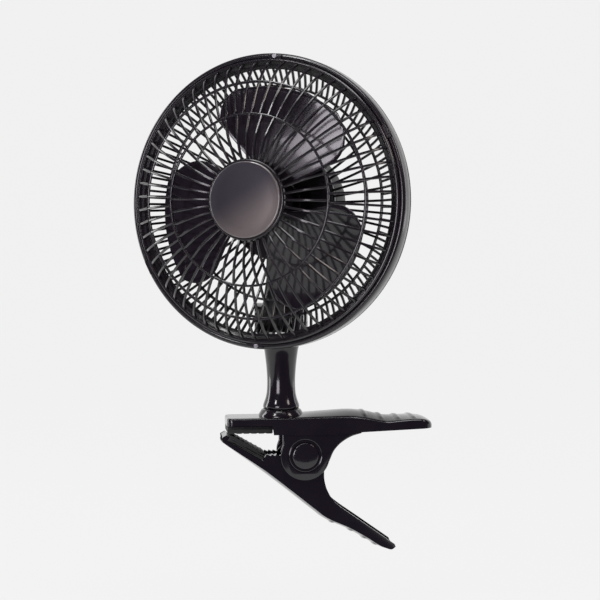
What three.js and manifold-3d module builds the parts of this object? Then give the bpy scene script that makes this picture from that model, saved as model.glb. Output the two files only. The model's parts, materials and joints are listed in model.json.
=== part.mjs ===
// Small clip-on fan with a 15 cm class blade, in millimetres, +Z up.
// The origin is the middle of the upper jaw pad's underside, where the clip rests on a shelf or desk edge.
// The clip runs along X with its jaws at -X and its handles at +X; the head faces about -Y.
import * as THREE from 'three';
import { mergeVertices } from 'three/addons/utils/BufferGeometryUtils.js';
import Module from 'manifold-3d';

const wasm = await Module();
wasm.setup();

// ---- Driving dimensions ----
const gap = 0.3; // air left between neighbouring pieces

const pivot = { x: 36.6, z: -14.9 }; // clip hinge, seen from the side
const stemX = 22; // swivel axis of the stem on the clip
const swivelRest = THREE.MathUtils.degToRad(-28); // how far the head is turned at rest
const tiltZ = 76.6; // height of the tilt hinge
const tiltBack = 28; // tilt hinge behind the front plane of the rim
const tiltDrop = 77; // tilt hinge below the fan's axis

const jawEndX = -15.4;
const handleEndX = 122.8;
const clipWidth = 36;
const cheekThick = 3;
const crown = 2.6; // rise of the clip's top between its long edges
const slabThick = 3.4;
const armWidth = 28.8;
const padLength = 30;
const padThick = 4.5;
const bossRadius = 16.5;

const rimRadius = 97;
const rimInner = 94;
const rimDepth = 12;
const flangeInner = 87;
const flangeFront = 1.1; // seat of the front guard's ring on the rim's flange
const bladeRadius = 75;
const bladeCount = 3;
const hubRadius = 16;
const badgeRadius = 24.5;
const innerRingRadius = 55;
const secondRingRadius = 76.5;
const innerBars = 20; // the real guards have twice as many, finer bars, which these stand in for
const outerBars = 30;
const rearBars = 30;
const ringSides = 32;
const barHalf = 1; // half the width of a guard bar

const shaftRadius = 2;
const shaftHole = shaftRadius + gap;
const coverRadius = 38;
const coverWall = 2.4;
const plateBack = 29; // rear face of the rear guard's motor plate
const coreFront = 37;
const coreBack = 49;
const boltX = 15.8; // motor bolts either side of the axis
const boltHole = 1.9;
const knobZ = 17; // the speed knob above the axis, the cord's gland below it
const glandZ = -18;
const pinRadius = 3;
const capSeatRadius = 9;
const screwHole = 2.2; // for the swivel screw
const tiltHole = 2.6; // through the fork, the washers and the knuckle
const washerRadius = 8.4;

// ---- Finishes ----
const finish = (colour, roughness, metalness = 0) =>
  new THREE.MeshStandardMaterial({ color: colour, roughness, metalness });
const blackGloss = () => finish(0x0b0b0c, 0.22);
const blackSatin = () => finish(0x141415, 0.45);
const bladePlastic = () => finish(0x0e0e10, 0.16);
const badgeFilm = () => finish(0x2a282c, 0.2, 0.3);
const rubber = () => finish(0x1a1a1a, 0.85);
const steel = () => finish(0xa8aaac, 0.35, 1);
const laminations = () => finish(0x6c6e70, 0.5, 1);
const bronze = () => finish(0xa9793c, 0.4, 1);
const copper = () => finish(0x9c4a22, 0.35, 1);
const nylon = () => finish(0xe4e0d2, 0.5);
const leadSheath = () => finish(0x7a1c16, 0.5);

// ---- Solids from three.js geometry ----
function solid(geometry) {
  const bare = geometry.index ? geometry.toNonIndexed() : geometry.clone();
  for (const name of Object.keys(bare.attributes)) {
    if (name !== 'position') bare.deleteAttribute(name);
  }
  const merged = mergeVertices(bare, 1e-4);
  const corners = Array.from(merged.index.array);
  const kept = [];
  for (let i = 0; i < corners.length; i += 3) {
    const [a, b, c] = corners.slice(i, i + 3);
    if (a !== b && b !== c && c !== a) kept.push(a, b, c);
  }
  const mesh = new wasm.Mesh({
    numProp: 3,
    vertProperties: Float32Array.from(merged.attributes.position.array),
    triVerts: Uint32Array.from(kept),
  });
  return new wasm.Manifold(mesh);
}

function geometryOf(manifold) {
  const mesh = manifold.getMesh();
  const geometry = new THREE.BufferGeometry();
  geometry.setAttribute('position', new THREE.BufferAttribute(mesh.vertProperties, 3));
  geometry.setIndex(new THREE.BufferAttribute(mesh.triVerts, 1));
  const flat = geometry.toNonIndexed();
  flat.computeVertexNormals();
  return flat;
}

const join = (first, ...rest) => rest.reduce((whole, next) => whole.add(next), first);
const cut = (first, ...rest) => rest.reduce((whole, next) => whole.subtract(next), first);

const box = (low, high) => {
  const size = high.map((value, i) => value - low[i]);
  const middle = high.map((value, i) => (value + low[i]) / 2);
  return solid(new THREE.BoxGeometry(...size).translate(...middle));
};

// A cylinder whose axis is 'x', 'y' or 'z', from one end to the other along it.
function rod(axis, radius, from, to, place = [0, 0, 0], sides = 20, endRadius = radius) {
  const geometry = new THREE.CylinderGeometry(endRadius, radius, to - from, sides);
  geometry.translate(0, (from + to) / 2, 0);
  if (axis === 'x') geometry.rotateZ(-Math.PI / 2);
  if (axis === 'z') geometry.rotateX(Math.PI / 2);
  return solid(geometry.translate(...place));
}

// A lathe geometry about the Y axis from a closed half section of [radius, y] points, given in either order.
function latheOf(profile, sides) {
  const points = profile.map(([radius, y]) => new THREE.Vector2(radius, y));
  if (THREE.ShapeUtils.isClockWise(points)) points.reverse();
  points.push(points[0].clone());
  return new THREE.LatheGeometry(points, sides);
}

const turned = (profile, sides = ringSides) => solid(latheOf(profile, sides));

const shapeOf = (points) => new THREE.Shape(points.map(([x, y]) => new THREE.Vector2(x, y)));

// An outline in the X-Z plane, given thickness along Y.
function sidePlate(shape, fromY, toY, curveSegments = 6) {
  const options = { depth: toY - fromY, bevelEnabled: false, curveSegments };
  const geometry = new THREE.ExtrudeGeometry(shape, options);
  return solid(geometry.rotateX(Math.PI / 2).translate(0, toY, 0));
}

// An outline in the Y-Z plane, given thickness along X.
function crossPlate(shape, fromX, toX, curveSegments = 6) {
  const options = { depth: toX - fromX, bevelEnabled: false, curveSegments };
  const geometry = new THREE.ExtrudeGeometry(shape, options);
  return solid(geometry.rotateX(Math.PI / 2).rotateZ(Math.PI / 2).translate(fromX, 0, 0));
}

// A constant section swept along a curve.
function sweep(shape, path, steps) {
  const options = { steps, bevelEnabled: false, extrudePath: path, curveSegments: 3 };
  return solid(new THREE.ExtrudeGeometry(shape, options));
}

const curveOf = (points) => new THREE.CatmullRomCurve3(points.map((p) => new THREE.Vector3(...p)));

function piece(name, body, material, parent) {
  const mesh = new THREE.Mesh(geometryOf(body), material);
  mesh.name = name;
  parent.add(mesh);
  return mesh;
}

// ---- Clip, fixed half ----
// The top is a crowned slab that follows this line along its long edges.
const topEdge = () =>
  curveOf([
    [jawEndX, 0, 8.6],
    [20, 0, 9],
    [48, 0, 10.6],
    [70, 0, 11],
    [90, 0, 8.9],
    [110, 0, 9.2],
    [handleEndX, 0, 6.6],
  ]);

// Its section: flat below, an arc above. Sweeping maps the section's x to -Y and its y to -Z.
function slabSection(halfWidth, lift, depth) {
  const radius = (halfWidth ** 2 + crown ** 2) / (2 * crown);
  const half = Math.asin(halfWidth / radius);
  const shape = new THREE.Shape();
  shape.moveTo(-halfWidth, depth);
  shape.lineTo(halfWidth, depth);
  shape.lineTo(halfWidth, -lift);
  const middle = -lift - crown + radius;
  const arcSteps = 6;
  for (let i = 1; i < arcSteps; i += 1) {
    const angle = half - (2 * half * i) / arcSteps;
    shape.lineTo(radius * Math.sin(angle), middle - radius * Math.cos(angle));
  }
  shape.lineTo(-halfWidth, -lift);
  return shape;
}

// Seen from above the clip narrows a little at the jaw and widens at the handle.
function planOutline() {
  const shape = new THREE.Shape();
  shape.moveTo(jawEndX + 4, -16.5);
  shape.lineTo(pivot.x, -18);
  shape.lineTo(pivot.x + 20, -18);
  shape.lineTo(handleEndX - 8, -19.5);
  shape.quadraticCurveTo(handleEndX, -19.5, handleEndX, -11);
  shape.lineTo(handleEndX, 11);
  shape.quadraticCurveTo(handleEndX, 19.5, handleEndX - 8, 19.5);
  shape.lineTo(pivot.x + 20, 18);
  shape.lineTo(pivot.x, 18);
  shape.lineTo(jawEndX + 4, 16.5);
  shape.quadraticCurveTo(jawEndX, 16.5, jawEndX, 12.5);
  shape.lineTo(jawEndX, -12.5);
  shape.quadraticCurveTo(jawEndX, -16.5, jawEndX + 4, -16.5);
  return shape;
}

// The cheek: a skirt along the jaw, a round boss about the hinge, a curved web up to the handle.
function cheekOutline() {
  const wallX = 21.7;
  const skirtZ = -1.3;
  const wallFoot = pivot.z + Math.sqrt(bossRadius ** 2 - (pivot.x - wallX) ** 2);
  const wallAngle = Math.atan2(wallFoot - pivot.z, wallX - pivot.x);
  const shape = new THREE.Shape();
  shape.moveTo(padLength / 2 + gap, 7);
  shape.lineTo(padLength / 2 + gap, skirtZ);
  shape.lineTo(wallX, skirtZ);
  shape.lineTo(wallX, wallFoot);
  shape.absarc(pivot.x, pivot.z, bossRadius, wallAngle, 2 * Math.PI - 0.25, false);
  shape.quadraticCurveTo(55, -7, 76, 0.6);
  shape.lineTo(handleEndX, 2.7);
  shape.lineTo(handleEndX, 5.5);
  shape.lineTo(90, 7.4);
  shape.lineTo(70, 9.4);
  shape.lineTo(48, 9);
  return shape;
}

const beyond = 30; // half length of a tool that goes right through the clip or the fork
const pinBore = () => rod('y', pinRadius + gap, -beyond, beyond, [pivot.x, 0, pivot.z]);

function clipBody() {
  const slab = sweep(slabSection(22, 0, slabThick), topEdge(), 14);
  const outerY = 19.5;
  const innerY = clipWidth / 2 - cheekThick;
  const front = sidePlate(cheekOutline(), -outerY, -innerY);
  const back = sidePlate(cheekOutline(), innerY, outerY);
  const tall = { depth: 80, bevelEnabled: false, curveSegments: 4 };
  const footprint = solid(new THREE.ExtrudeGeometry(planOutline(), tall).translate(0, 0, -50));
  const capSeat = (from, to) => rod('y', capSeatRadius, from, to, [pivot.x, 0, pivot.z], 32);
  const seatY = clipWidth / 2 - 1.2;
  const screwBore = rod('z', screwHole, -10, 20, [stemX, 0, 0], 16);
  const whole = join(slab, front, back).intersect(footprint);
  return cut(whole, pinBore(), capSeat(-beyond, -seatY), capSeat(seatY, beyond), screwBore);
}

// A slab of rubber with grooves across it, from x = 0 to its length, its gripping face at z = 0.
function padShape(thick, up) {
  const bands = 5;
  const pitch = padLength / bands;
  const depth = 0.7;
  const shape = new THREE.Shape();
  shape.moveTo(0, up * -thick);
  shape.lineTo(0, 0);
  for (let i = 1; i < bands; i += 1) {
    shape.lineTo(i * pitch - depth, 0);
    shape.lineTo(i * pitch, up * -depth);
    shape.lineTo(i * pitch + depth, 0);
  }
  shape.lineTo(padLength, 0);
  shape.lineTo(padLength, up * -thick);
  return shape;
}

const upperPad = () => {
  const geometry = new THREE.ExtrudeGeometry(padShape(padThick, -1), { depth: 30, bevelEnabled: false });
  return solid(geometry.rotateX(Math.PI / 2).translate(-padLength / 2, 15, 0));
};

// ---- Clip, swinging half ----
const padSlope = THREE.MathUtils.degToRad(29.6);
const lowerPadStart = { x: -13, z: -0.6 };
const lowerPadLength = 27;

function armOutline() {
  const along = (s, d) => [
    lowerPadStart.x + s * Math.cos(padSlope) - d * Math.sin(padSlope),
    lowerPadStart.z - s * Math.sin(padSlope) - d * Math.cos(padSlope),
  ];
  const seat = padThick + gap;
  const shape = new THREE.Shape();
  shape.moveTo(...along(-gap, seat));
  shape.lineTo(...along(-gap, 1.6));
  shape.lineTo(...along(-2.2, 1.4));
  shape.lineTo(...along(-4, 4.4));
  shape.quadraticCurveTo(-19.4, -6.4, -16, -8.4);
  shape.quadraticCurveTo(14, -30, 41.7, -52.8);
  shape.quadraticCurveTo(47.5, -58, 54.6, -61.9);
  shape.lineTo(67, -66.6);
  shape.lineTo(84.8, -77.3);
  shape.quadraticCurveTo(90, -80.6, 95.5, -80.2);
  shape.quadraticCurveTo(99.4, -79.6, 98.7, -76.8);
  shape.lineTo(58.4, -48);
  shape.quadraticCurveTo(50.4, -39.6, 49.5, -29.1);
  shape.lineTo(49.6, -24);
  const hubAngle = Math.atan2(-24 - pivot.z, 49.6 - pivot.x);
  const hub = Math.hypot(49.6 - pivot.x, -24 - pivot.z);
  shape.absarc(pivot.x, pivot.z, hub, hubAngle, hubAngle + 0.35, false);
  shape.absarc(pivot.x, pivot.z, 12, 0.1, Math.PI * 0.8, false);
  const teethStart = along(lowerPadLength + gap, 0);
  const toothRun = 3;
  for (let i = 2; i >= 0; i -= 1) {
    shape.lineTo(teethStart[0] + (i + 1) * toothRun, teethStart[1] - 1.2);
    shape.lineTo(teethStart[0] + i * toothRun + 0.6, teethStart[1] + 0.6);
  }
  shape.lineTo(...along(lowerPadLength + gap, seat));
  return shape;
}

function lowerJaw() {
  const half = armWidth / 2;
  const whole = sidePlate(armOutline(), -half, half, 5);
  const inner = half - cheekThick;
  const window = new THREE.Shape();
  window.moveTo(28, -2);
  window.lineTo(26, -22);
  window.lineTo(44, -44);
  window.lineTo(56, -50);
  window.lineTo(97, -74);
  window.lineTo(99, -70);
  window.lineTo(60, -40);
  window.lineTo(52, -2);
  return cut(whole, sidePlate(window, -inner, inner), pinBore());
}

const lowerPad = () => {
  const half = armWidth / 2;
  const shape = new THREE.Shape();
  shape.moveTo(0, 1.2);
  shape.lineTo(1.2, 0);
  const ribs = 7;
  const pitch = (lowerPadLength - 2) / ribs;
  for (let i = 1; i < ribs; i += 1) {
    shape.lineTo(1.2 + i * pitch - 0.7, 0);
    shape.lineTo(1.2 + i * pitch, 0.7);
    shape.lineTo(1.2 + i * pitch + 0.7, 0);
  }
  shape.lineTo(lowerPadLength, 0);
  shape.lineTo(lowerPadLength, padThick);
  shape.lineTo(0, padThick);
  const geometry = new THREE.ExtrudeGeometry(shape, { depth: 2 * half, bevelEnabled: false });
  geometry.rotateX(-Math.PI / 2).rotateY(padSlope).translate(lowerPadStart.x, -half, lowerPadStart.z);
  return solid(geometry);
};

// ---- Hinge pin, its caps and the spring around it ----
const pinEnd = clipWidth / 2 - 1.6;
const pivotPin = () => rod('y', pinRadius, -pinEnd, pinEnd, [pivot.x, 0, pivot.z]);

const pivotCap = (side) => {
  const profile = [
    [0, clipWidth / 2 - 0.9],
    [8.7, clipWidth / 2 - 0.9],
    [8.7, clipWidth / 2 + 0.2],
    [7.9, clipWidth / 2 + 1],
    [4, clipWidth / 2 + 1.5],
    [0, clipWidth / 2 + 1.7],
  ];
  const cap = latheOf(profile, 20);
  if (side < 0) cap.rotateX(Math.PI);
  return solid(cap.translate(pivot.x, 0, pivot.z));
};

// Five turns round the pin; one leg bears on the fixed handle, the other on the swinging one.
class TorsionSpring extends THREE.Curve {
  getPoint(t, target = new THREE.Vector3()) {
    const turns = 5;
    const coil = 6;
    const halfLength = 6;
    const startAngle = Math.PI / 2;
    const endAngle = startAngle - 2 * Math.PI * turns - Math.PI;
    const legShare = 0.12;
    const legLength = 24;
    const at = (angle, y) => [pivot.x + coil * Math.cos(angle), y, pivot.z + coil * Math.sin(angle)];
    if (t < legShare) {
      const back = (1 - t / legShare) * legLength;
      const [x, y, z] = at(startAngle, -halfLength);
      return target.set(x + back * Math.cos(0.42), y, z + back * Math.sin(0.42));
    }
    if (t > 1 - legShare) {
      const out = ((t - 1 + legShare) / legShare) * legLength;
      const [x, y, z] = at(endAngle, halfLength);
      return target.set(x + out * Math.cos(0.75), y, z - out * Math.sin(0.75));
    }
    const share = (t - legShare) / (1 - 2 * legShare);
    const angle = startAngle + (endAngle - startAngle) * share;
    return target.set(...at(angle, halfLength * (2 * share - 1)));
  }
}

const torsionSpring = () => {
  const wire = new THREE.Shape();
  wire.absarc(0, 0, 0.8, 0, 2 * Math.PI, false);
  return sweep(wire, new TorsionSpring(), 46);
};

// ---- Stem and its fittings, in the stem's own frame: swivel axis Z, head facing -Y ----
const stemFoot = 15.5;
const forkWidth = 36;
const slotHalf = 11.6;
const earRadius = 10;

// A tapered ring with a soft top edge that stands on the crowned clip.
function stemCollar() {
  const profile = [
    [10.5, 6],
    [15.2, 6],
    [15.2, 12.4],
    [13.4, stemFoot - gap],
    [10.5, stemFoot - gap],
  ];
  const ring = latheOf(profile, 24).rotateX(Math.PI / 2).translate(stemX, 0, 0);
  const slabAbove = sweep(slabSection(22, gap, 12), topEdge(), 14);
  return cut(solid(ring), slabAbove);
}

// Its half section: a soft foot, a waist, and a bell that the fork is cut from.
const stemProfile = [
  [0, stemFoot],
  [11.6, stemFoot],
  [12.2, 16.4],
  [12, 18.5],
  [10.6, 22.5],
  [9.7, 27],
  [9.5, 33],
  [9.8, 41],
  [10.6, 49],
  [11.9, 57],
  [14.5, 63],
  [18, 68],
  [18, 90],
  [0, 90],
];

function stem() {
  const post = solid(latheOf(stemProfile, 20).rotateX(Math.PI / 2));
  const side = new THREE.Shape();
  side.moveTo(-12.5, stemFoot - 1);
  side.lineTo(12.5, stemFoot - 1);
  side.lineTo(12, 58);
  side.lineTo(earRadius, tiltZ - 4);
  side.absarc(0, tiltZ, earRadius, -0.4, Math.PI + 0.4, false);
  side.lineTo(-12, 58);
  const slim = crossPlate(side, -20, 20);
  const slot = box([-slotHalf, -20, tiltZ - earRadius - 1.4], [slotHalf, 20, 100]);
  const screwBore = rod('z', 1.9, 0, 34, [0, 0, 0], 16);
  const tiltBore = rod('x', tiltHole, -beyond, beyond, [0, 0, tiltZ]);
  const headSeat = rod('x', 4.6, -beyond, -forkWidth / 2 + 2.2, [0, 0, tiltZ]);
  const nutSeat = rod('x', 4.6, forkWidth / 2 - 2.2, beyond, [0, 0, tiltZ], 6);
  const flats = box([-forkWidth / 2, -20, 0], [forkWidth / 2, 20, 100]);
  return cut(post.intersect(slim).intersect(flats), slot, screwBore, tiltBore, headSeat, nutSeat);
}

const washer = (axis, inner, outer, from, to, place = [0, 0, 0], outerSides = 20) =>
  cut(rod(axis, outer, from, to, place, outerSides), rod(axis, inner, from - 1, to + 1, place, 16));

// A cross-recess screw: its shank runs from the tip to the head along an axis.
function screw(axis, shank, tip, seat, headRadius, headHeight, place = [0, 0, 0]) {
  const direction = Math.sign(seat - tip);
  const top = seat + direction * headHeight;
  const span = (a, b) => [Math.min(a, b), Math.max(a, b)];
  const shaft = rod(axis, shank, ...span(tip, seat + direction * 0.1), place, 8);
  const head = rod(axis, headRadius, ...span(seat, top), place, 12);
  const slotDepth = headHeight * 0.5;
  const wide = headRadius * 0.62;
  const narrow = headRadius * 0.13;
  const bar = (a, b) => {
    const [from, to] = span(top - direction * slotDepth, top + direction);
    const low = { x: [from, -a, -b], y: [-a, from, -b], z: [-a, -b, from] }[axis];
    const high = { x: [to, a, b], y: [a, to, b], z: [a, b, to] }[axis];
    return box(low.map((v, i) => v + place[i]), high.map((v, i) => v + place[i]));
  };
  return cut(join(shaft, head), bar(wide, narrow), bar(narrow, wide));
}

// ---- Head, in its own frame: fan axis Y with the front at -Y, rim front plane at y = 0 ----
const barSection = () =>
  shapeOf([[-barHalf, -barHalf], [barHalf, -barHalf], [barHalf, barHalf], [-barHalf, barHalf]]);

// One guard bar along a line of [radius, y] points, turned to its place round the axis.
function guardBar(points, angle, steps) {
  const path = curveOf(points.map(([r, y]) => [r * Math.cos(angle), y, r * Math.sin(angle)]));
  return sweep(barSection(), path, steps);
}

function guardBars(points, count, steps, offset = 0) {
  const bars = [];
  for (let i = 0; i < count; i += 1) {
    bars.push(guardBar(points, offset + (2 * Math.PI * i) / count, steps));
  }
  return bars;
}

const wireRing = (radius, y, half = 1.3) =>
  turned([
    [radius - half, y - half],
    [radius + half, y - half],
    [radius + half, y + half],
    [radius - half, y + half],
  ]);

const frontRingOuter = rimInner - 0.4;
const snapAngles = [27, 207].map(THREE.MathUtils.degToRad);
const earAngles = [85, 267].map(THREE.MathUtils.degToRad); // screwed ears, one at the top and one below
const tabAngles = [...snapAngles, ...earAngles];
const tabRadius = 94.4;
const rimHoleRadius = 94.9;
const pilotRadius = 0.8;
const rimHolePlace = (angle) => [rimHoleRadius * Math.cos(angle), 0, rimHoleRadius * Math.sin(angle)];

function frontGuard() {
  const ring = turned([
    [flangeInner + 0.6, -1.2],
    [89.4, -2.6],
    [frontRingOuter - 1, -2.6],
    [frontRingOuter, -1.4],
    [frontRingOuter, flangeFront - gap],
    [flangeInner + 0.6, flangeFront - gap],
  ]);
  const hub = turned([
    [0, -30.4],
    [badgeRadius + 1, -30.4],
    [badgeRadius + 1.8, -29.6],
    [badgeRadius + 1.8, -27.4],
    [0, -27.4],
  ]);
  const inner = guardBars([[badgeRadius, -28], [39, -30.6], [innerRingRadius, -27]], innerBars, 2);
  const outer = guardBars(
    [[innerRingRadius, -27], [66, -23.4], [secondRingRadius, -17.7], [85.5, -10.5], [90, -0.8]],
    outerBars,
    4,
    Math.PI / outerBars,
  );
  const tabs = tabAngles.map((angle) => {
    const tab = new THREE.BoxGeometry(3.4, 2.4, 9).translate(tabRadius, -1, 0).rotateY(-angle);
    return solid(tab);
  });
  const rings = [wireRing(innerRingRadius, -27), wireRing(secondRingRadius, -17.7)];
  const whole = join(ring, hub, ...inner, ...outer, ...rings, ...tabs);
  const holes = earAngles.map((angle) => rod('y', pilotRadius + 0.3, -10, 10, rimHolePlace(angle), 12));
  return cut(whole, ...holes);
}

const hubBadge = () =>
  turned([
    [0, -30.7],
    [badgeRadius, -30.7],
    [badgeRadius, -31.9],
    [badgeRadius - 0.9, -32.6],
    [12, -33.1],
    [0, -33.3],
  ], 24);

function rearGuard() {
  const band = turned([
    [rimInner, -1.4],
    [rimRadius - 1, -1.4],
    [rimRadius, 0.2],
    [rimRadius, rimDepth - 1.5],
    [rimRadius - 1.5, rimDepth],
    [rimInner, rimDepth],
    [rimInner, 4],
    [flangeInner, 4],
    [flangeInner, flangeFront],
    [rimInner, flangeFront],
  ]);
  const plateRadius = 39;
  const plateFront = plateBack - 2.6;
  const plate = turned([
    [7, plateFront],
    [plateRadius, plateFront],
    [plateRadius, plateBack],
    [7, plateBack],
  ]);
  const bars = guardBars(
    [[plateRadius - 1, plateFront + 1.2], [50, 23.8], [65, 18], [77, 12.6], [flangeInner + 1, 2.6]],
    rearBars,
    4,
  );
  const rings = [wireRing(65, 18), wireRing(77, 12.6)];
  const posts = [-boltX, boltX].map((x) => {
    const bore = rod('y', 1.8, plateBack + 0.4, 34, [x, 0, 0], 12);
    return cut(rod('y', 3.6, plateBack - 0.2, 32, [x, 0, 0], 16), bore);
  });
  const notches = tabAngles.map((angle) => {
    const notch = new THREE.BoxGeometry(4, 3.2, 9.8).translate(tabRadius, -1, 0).rotateY(-angle);
    return solid(notch);
  });
  const whole = join(band, plate, ...bars, ...rings, ...posts);
  const pilots = earAngles.map((angle) => rod('y', pilotRadius, 0, 9, rimHolePlace(angle), 12));
  const coverBolts = coverScrews.map(([x, z]) => rod('y', 1.8, 20, 40, [x, 0, z], 12));
  return cut(whole, ...notches, ...pilots, ...coverBolts);
}

// ---- Motor housing: a vented cup behind the guard with a neck down to the tilt knuckle ----
const coverScrewCircle = 33.2;
const coverScrews = [45, 135, 225, 315].map((degrees) => {
  const angle = THREE.MathUtils.degToRad(degrees);
  return [coverScrewCircle * Math.cos(angle), coverScrewCircle * Math.sin(angle)];
});
const coverFront = plateBack + gap;
const coverBack = 67;
const coverSides = 24;
const knuckleHalf = 10.3;

function neckOutline() {
  const shape = new THREE.Shape();
  shape.moveTo(tiltBack - earRadius * Math.cos(0.5), -tiltDrop + earRadius * Math.sin(0.5));
  shape.lineTo(22.7, -60);
  shape.lineTo(26.4, -50);
  shape.lineTo(coverFront, -43);
  shape.lineTo(coverFront, -30);
  shape.lineTo(56, -30);
  shape.lineTo(56, -37);
  shape.quadraticCurveTo(45, -46, 40.5, -60);
  shape.lineTo(tiltBack + earRadius - 0.4, -tiltDrop + 3);
  shape.absarc(tiltBack, -tiltDrop, earRadius, 0.2, -Math.PI - 0.5, true);
  return shape;
}

function motorCover() {
  const inner = coverRadius - coverWall;
  const shell = turned([
    [0, coverBack],
    [26, coverBack - 0.6],
    [32.5, coverBack - 4],
    [36, coverBack - 11],
    [coverRadius, 44],
    [coverRadius, coverFront],
    [inner, coverFront],
    [inner, 44],
    [33.4, coverBack - 12],
    [30.4, coverBack - 6],
    [24.6, coverBack - 3],
    [0, coverBack - coverWall],
  ], coverSides);
  const hollow = turned([
    [0, coverFront - 1],
    [inner, coverFront - 1],
    [inner, 44],
    [33.4, coverBack - 12],
    [30.4, coverBack - 6],
    [24.6, coverBack - 3],
    [0, coverBack - coverWall],
  ], coverSides);
  const neck = cut(crossPlate(neckOutline(), -knuckleHalf, knuckleHalf), hollow);
  const posts = coverScrews.map(([x, z]) => {
    const post = rod('y', 3.4, coverFront, 46, [x, 0, z], 16);
    return post.intersect(turned([[0, 10], [coverRadius - 0.5, 10], [coverRadius - 0.5, 70], [0, 70]]));
  });
  const bores = coverScrews.map(([x, z]) => rod('y', 1.5, 20, 44, [x, 0, z], 12));
  const vents = [];
  const ventPitch = 5.4;
  for (let row = -2; row <= 2; row += 1) {
    vents.push(box([-13, 60, row * ventPitch - 3.2], [13, 70, row * ventPitch - 1]));
  }
  const knobHole = rod('y', 3.4, 60, 70, [0, 0, knobZ], 20);
  const glandHole = rod('y', 5.6, 60, 70, [0, 0, glandZ], 24);
  const tiltBore = rod('x', tiltHole, -beyond, beyond, [0, tiltBack, -tiltDrop]);
  return cut(join(shell, neck, ...posts), ...bores, ...vents, knobHole, glandHole, tiltBore);
}

// A moulded bush in the housing's back, with an open hole for the supply lead.
function cordGland() {
  const profile = [
    [3.5, coverBack - 5.4],
    [6.6, coverBack - 5.4],
    [6.6, coverBack - 3.9],
    [5.3, coverBack - 3.9],
    [5.3, coverBack + 0.4],
    [7, coverBack + 0.4],
    [5.4, coverBack + 5],
    [3.5, coverBack + 5],
  ];
  return solid(latheOf(profile, 20).translate(0, 0, glandZ));
}

// ---- Motor: a shaded-pole frame with one winding ----
const coreHalfX = 20;
const boreRadius = 11.1;
const barTop = -18;
const barFoot = -26;

function statorCore() {
  const outline = shapeOf([[-coreHalfX, barFoot], [coreHalfX, barFoot], [coreHalfX, 16], [-coreHalfX, 16]]);
  const block = sidePlate(outline, coreFront, coreBack);
  const window = box([-13.5, 30, barTop], [13.5, 60, -12.7]);
  const bore = rod('y', boreRadius, 30, 60);
  const bolts = [-boltX, boltX].map((x) => rod('y', boltHole, 30, 60, [x, 0, 0], 12));
  return cut(block, window, bore, ...bolts);
}

// The bobbin is a spool on the core's lower bar, the winding fills it.
function bobbin() {
  const wallIn = 0.9;
  const half = 13;
  const tube = box([-half, coreFront - gap - wallIn, barFoot - gap - wallIn],
    [half, coreBack + gap + wallIn, barTop + gap + wallIn]);
  const flange = (x) => box([x, coreFront - 4.6, barFoot - 4.2], [x + 1.2, coreBack + 4.6, barTop + 4.9]);
  const hole = box([-half - 2, coreFront - gap, barFoot - gap], [half + 2, coreBack + gap, barTop + gap]);
  return cut(join(tube, flange(-half), flange(half - 1.2)), hole);
}

function winding() {
  const reach = 4;
  const inner = 0.9 + 2 * gap;
  const half = 13 - 1.2 - gap;
  const wound = (x, spread, top) =>
    box([-x, coreFront - spread, barFoot - spread], [x, coreBack + spread, barTop + top]);
  return cut(wound(half, reach, reach - 0.5), wound(half + 1, inner, inner));
}

// A strap across the core that carries a bearing; its feet stand on the laminations.
function bearingBracket(footY, strapY) {
  const direction = Math.sign(strapY - footY);
  const span = (a, b) => [Math.min(a, b), Math.max(a, b)];
  const [low, high] = span(strapY, strapY + direction * 1.8);
  const strap = box([-coreHalfX, low, -5.6], [coreHalfX, high, 5.6]);
  const footSpan = span(footY, strapY + direction * 0.2);
  const feet = [-boltX, boltX].map((x) => rod('y', 3.4, ...footSpan, [x, 0, 0], 16));
  const seat = rod('y', 7.4, low, high, [0, 0, 0], 24);
  const holes = [-boltX, boltX].map((x) => rod('y', boltHole, 20, 70, [x, 0, 0], 12));
  return cut(join(strap, seat, ...feet), rod('y', 4.8, 20, 70, [0, 0, 0]), ...holes);
}

const bearing = (from, to) =>
  turned([
    [shaftHole, from],
    [3.6, from],
    [4.5, from + 1.4],
    [4.5, to - 1.4],
    [3.6, to],
    [shaftHole, to],
  ], 16);

const switchBody = () => join(
  cut(box([-9, 55.6, 10], [9, 61.4, 26]), rod('y', 2.9, 57, 70, [0, 0, knobZ], 16)),
  box([-6, 53.2, 21], [-4.8, 55.8, 24]),
  box([4.8, 53.2, 21], [6, 55.8, 24]),
);

// Insulated leads from the switch tags down one side of the core to the winding.
function lead(side) {
  const path = curveOf([
    [side * 5.4, 51.9, 22.5],
    [side * 16, 51, 25],
    [side * 26, 50, 12],
    [side * 28, 50, -6],
    [side * 24, 50, -19],
    [side * 14.6, 50.5, -24],
  ]);
  const section = new THREE.Shape();
  section.absarc(0, 0, 0.8, 0, 2 * Math.PI, false);
  return sweep(section, path, 12);
}

// ---- Rotating parts ----
const rotorCore = () => cut(
  rod('y', boreRadius - 0.6, coreFront + 0.2, coreBack - 0.2),
  rod('y', shaftHole, 30, 60, [0, 0, 0]),
);

const shaft = () => rod('y', shaftRadius, -17, 58, [0, 0, 0]);

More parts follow.
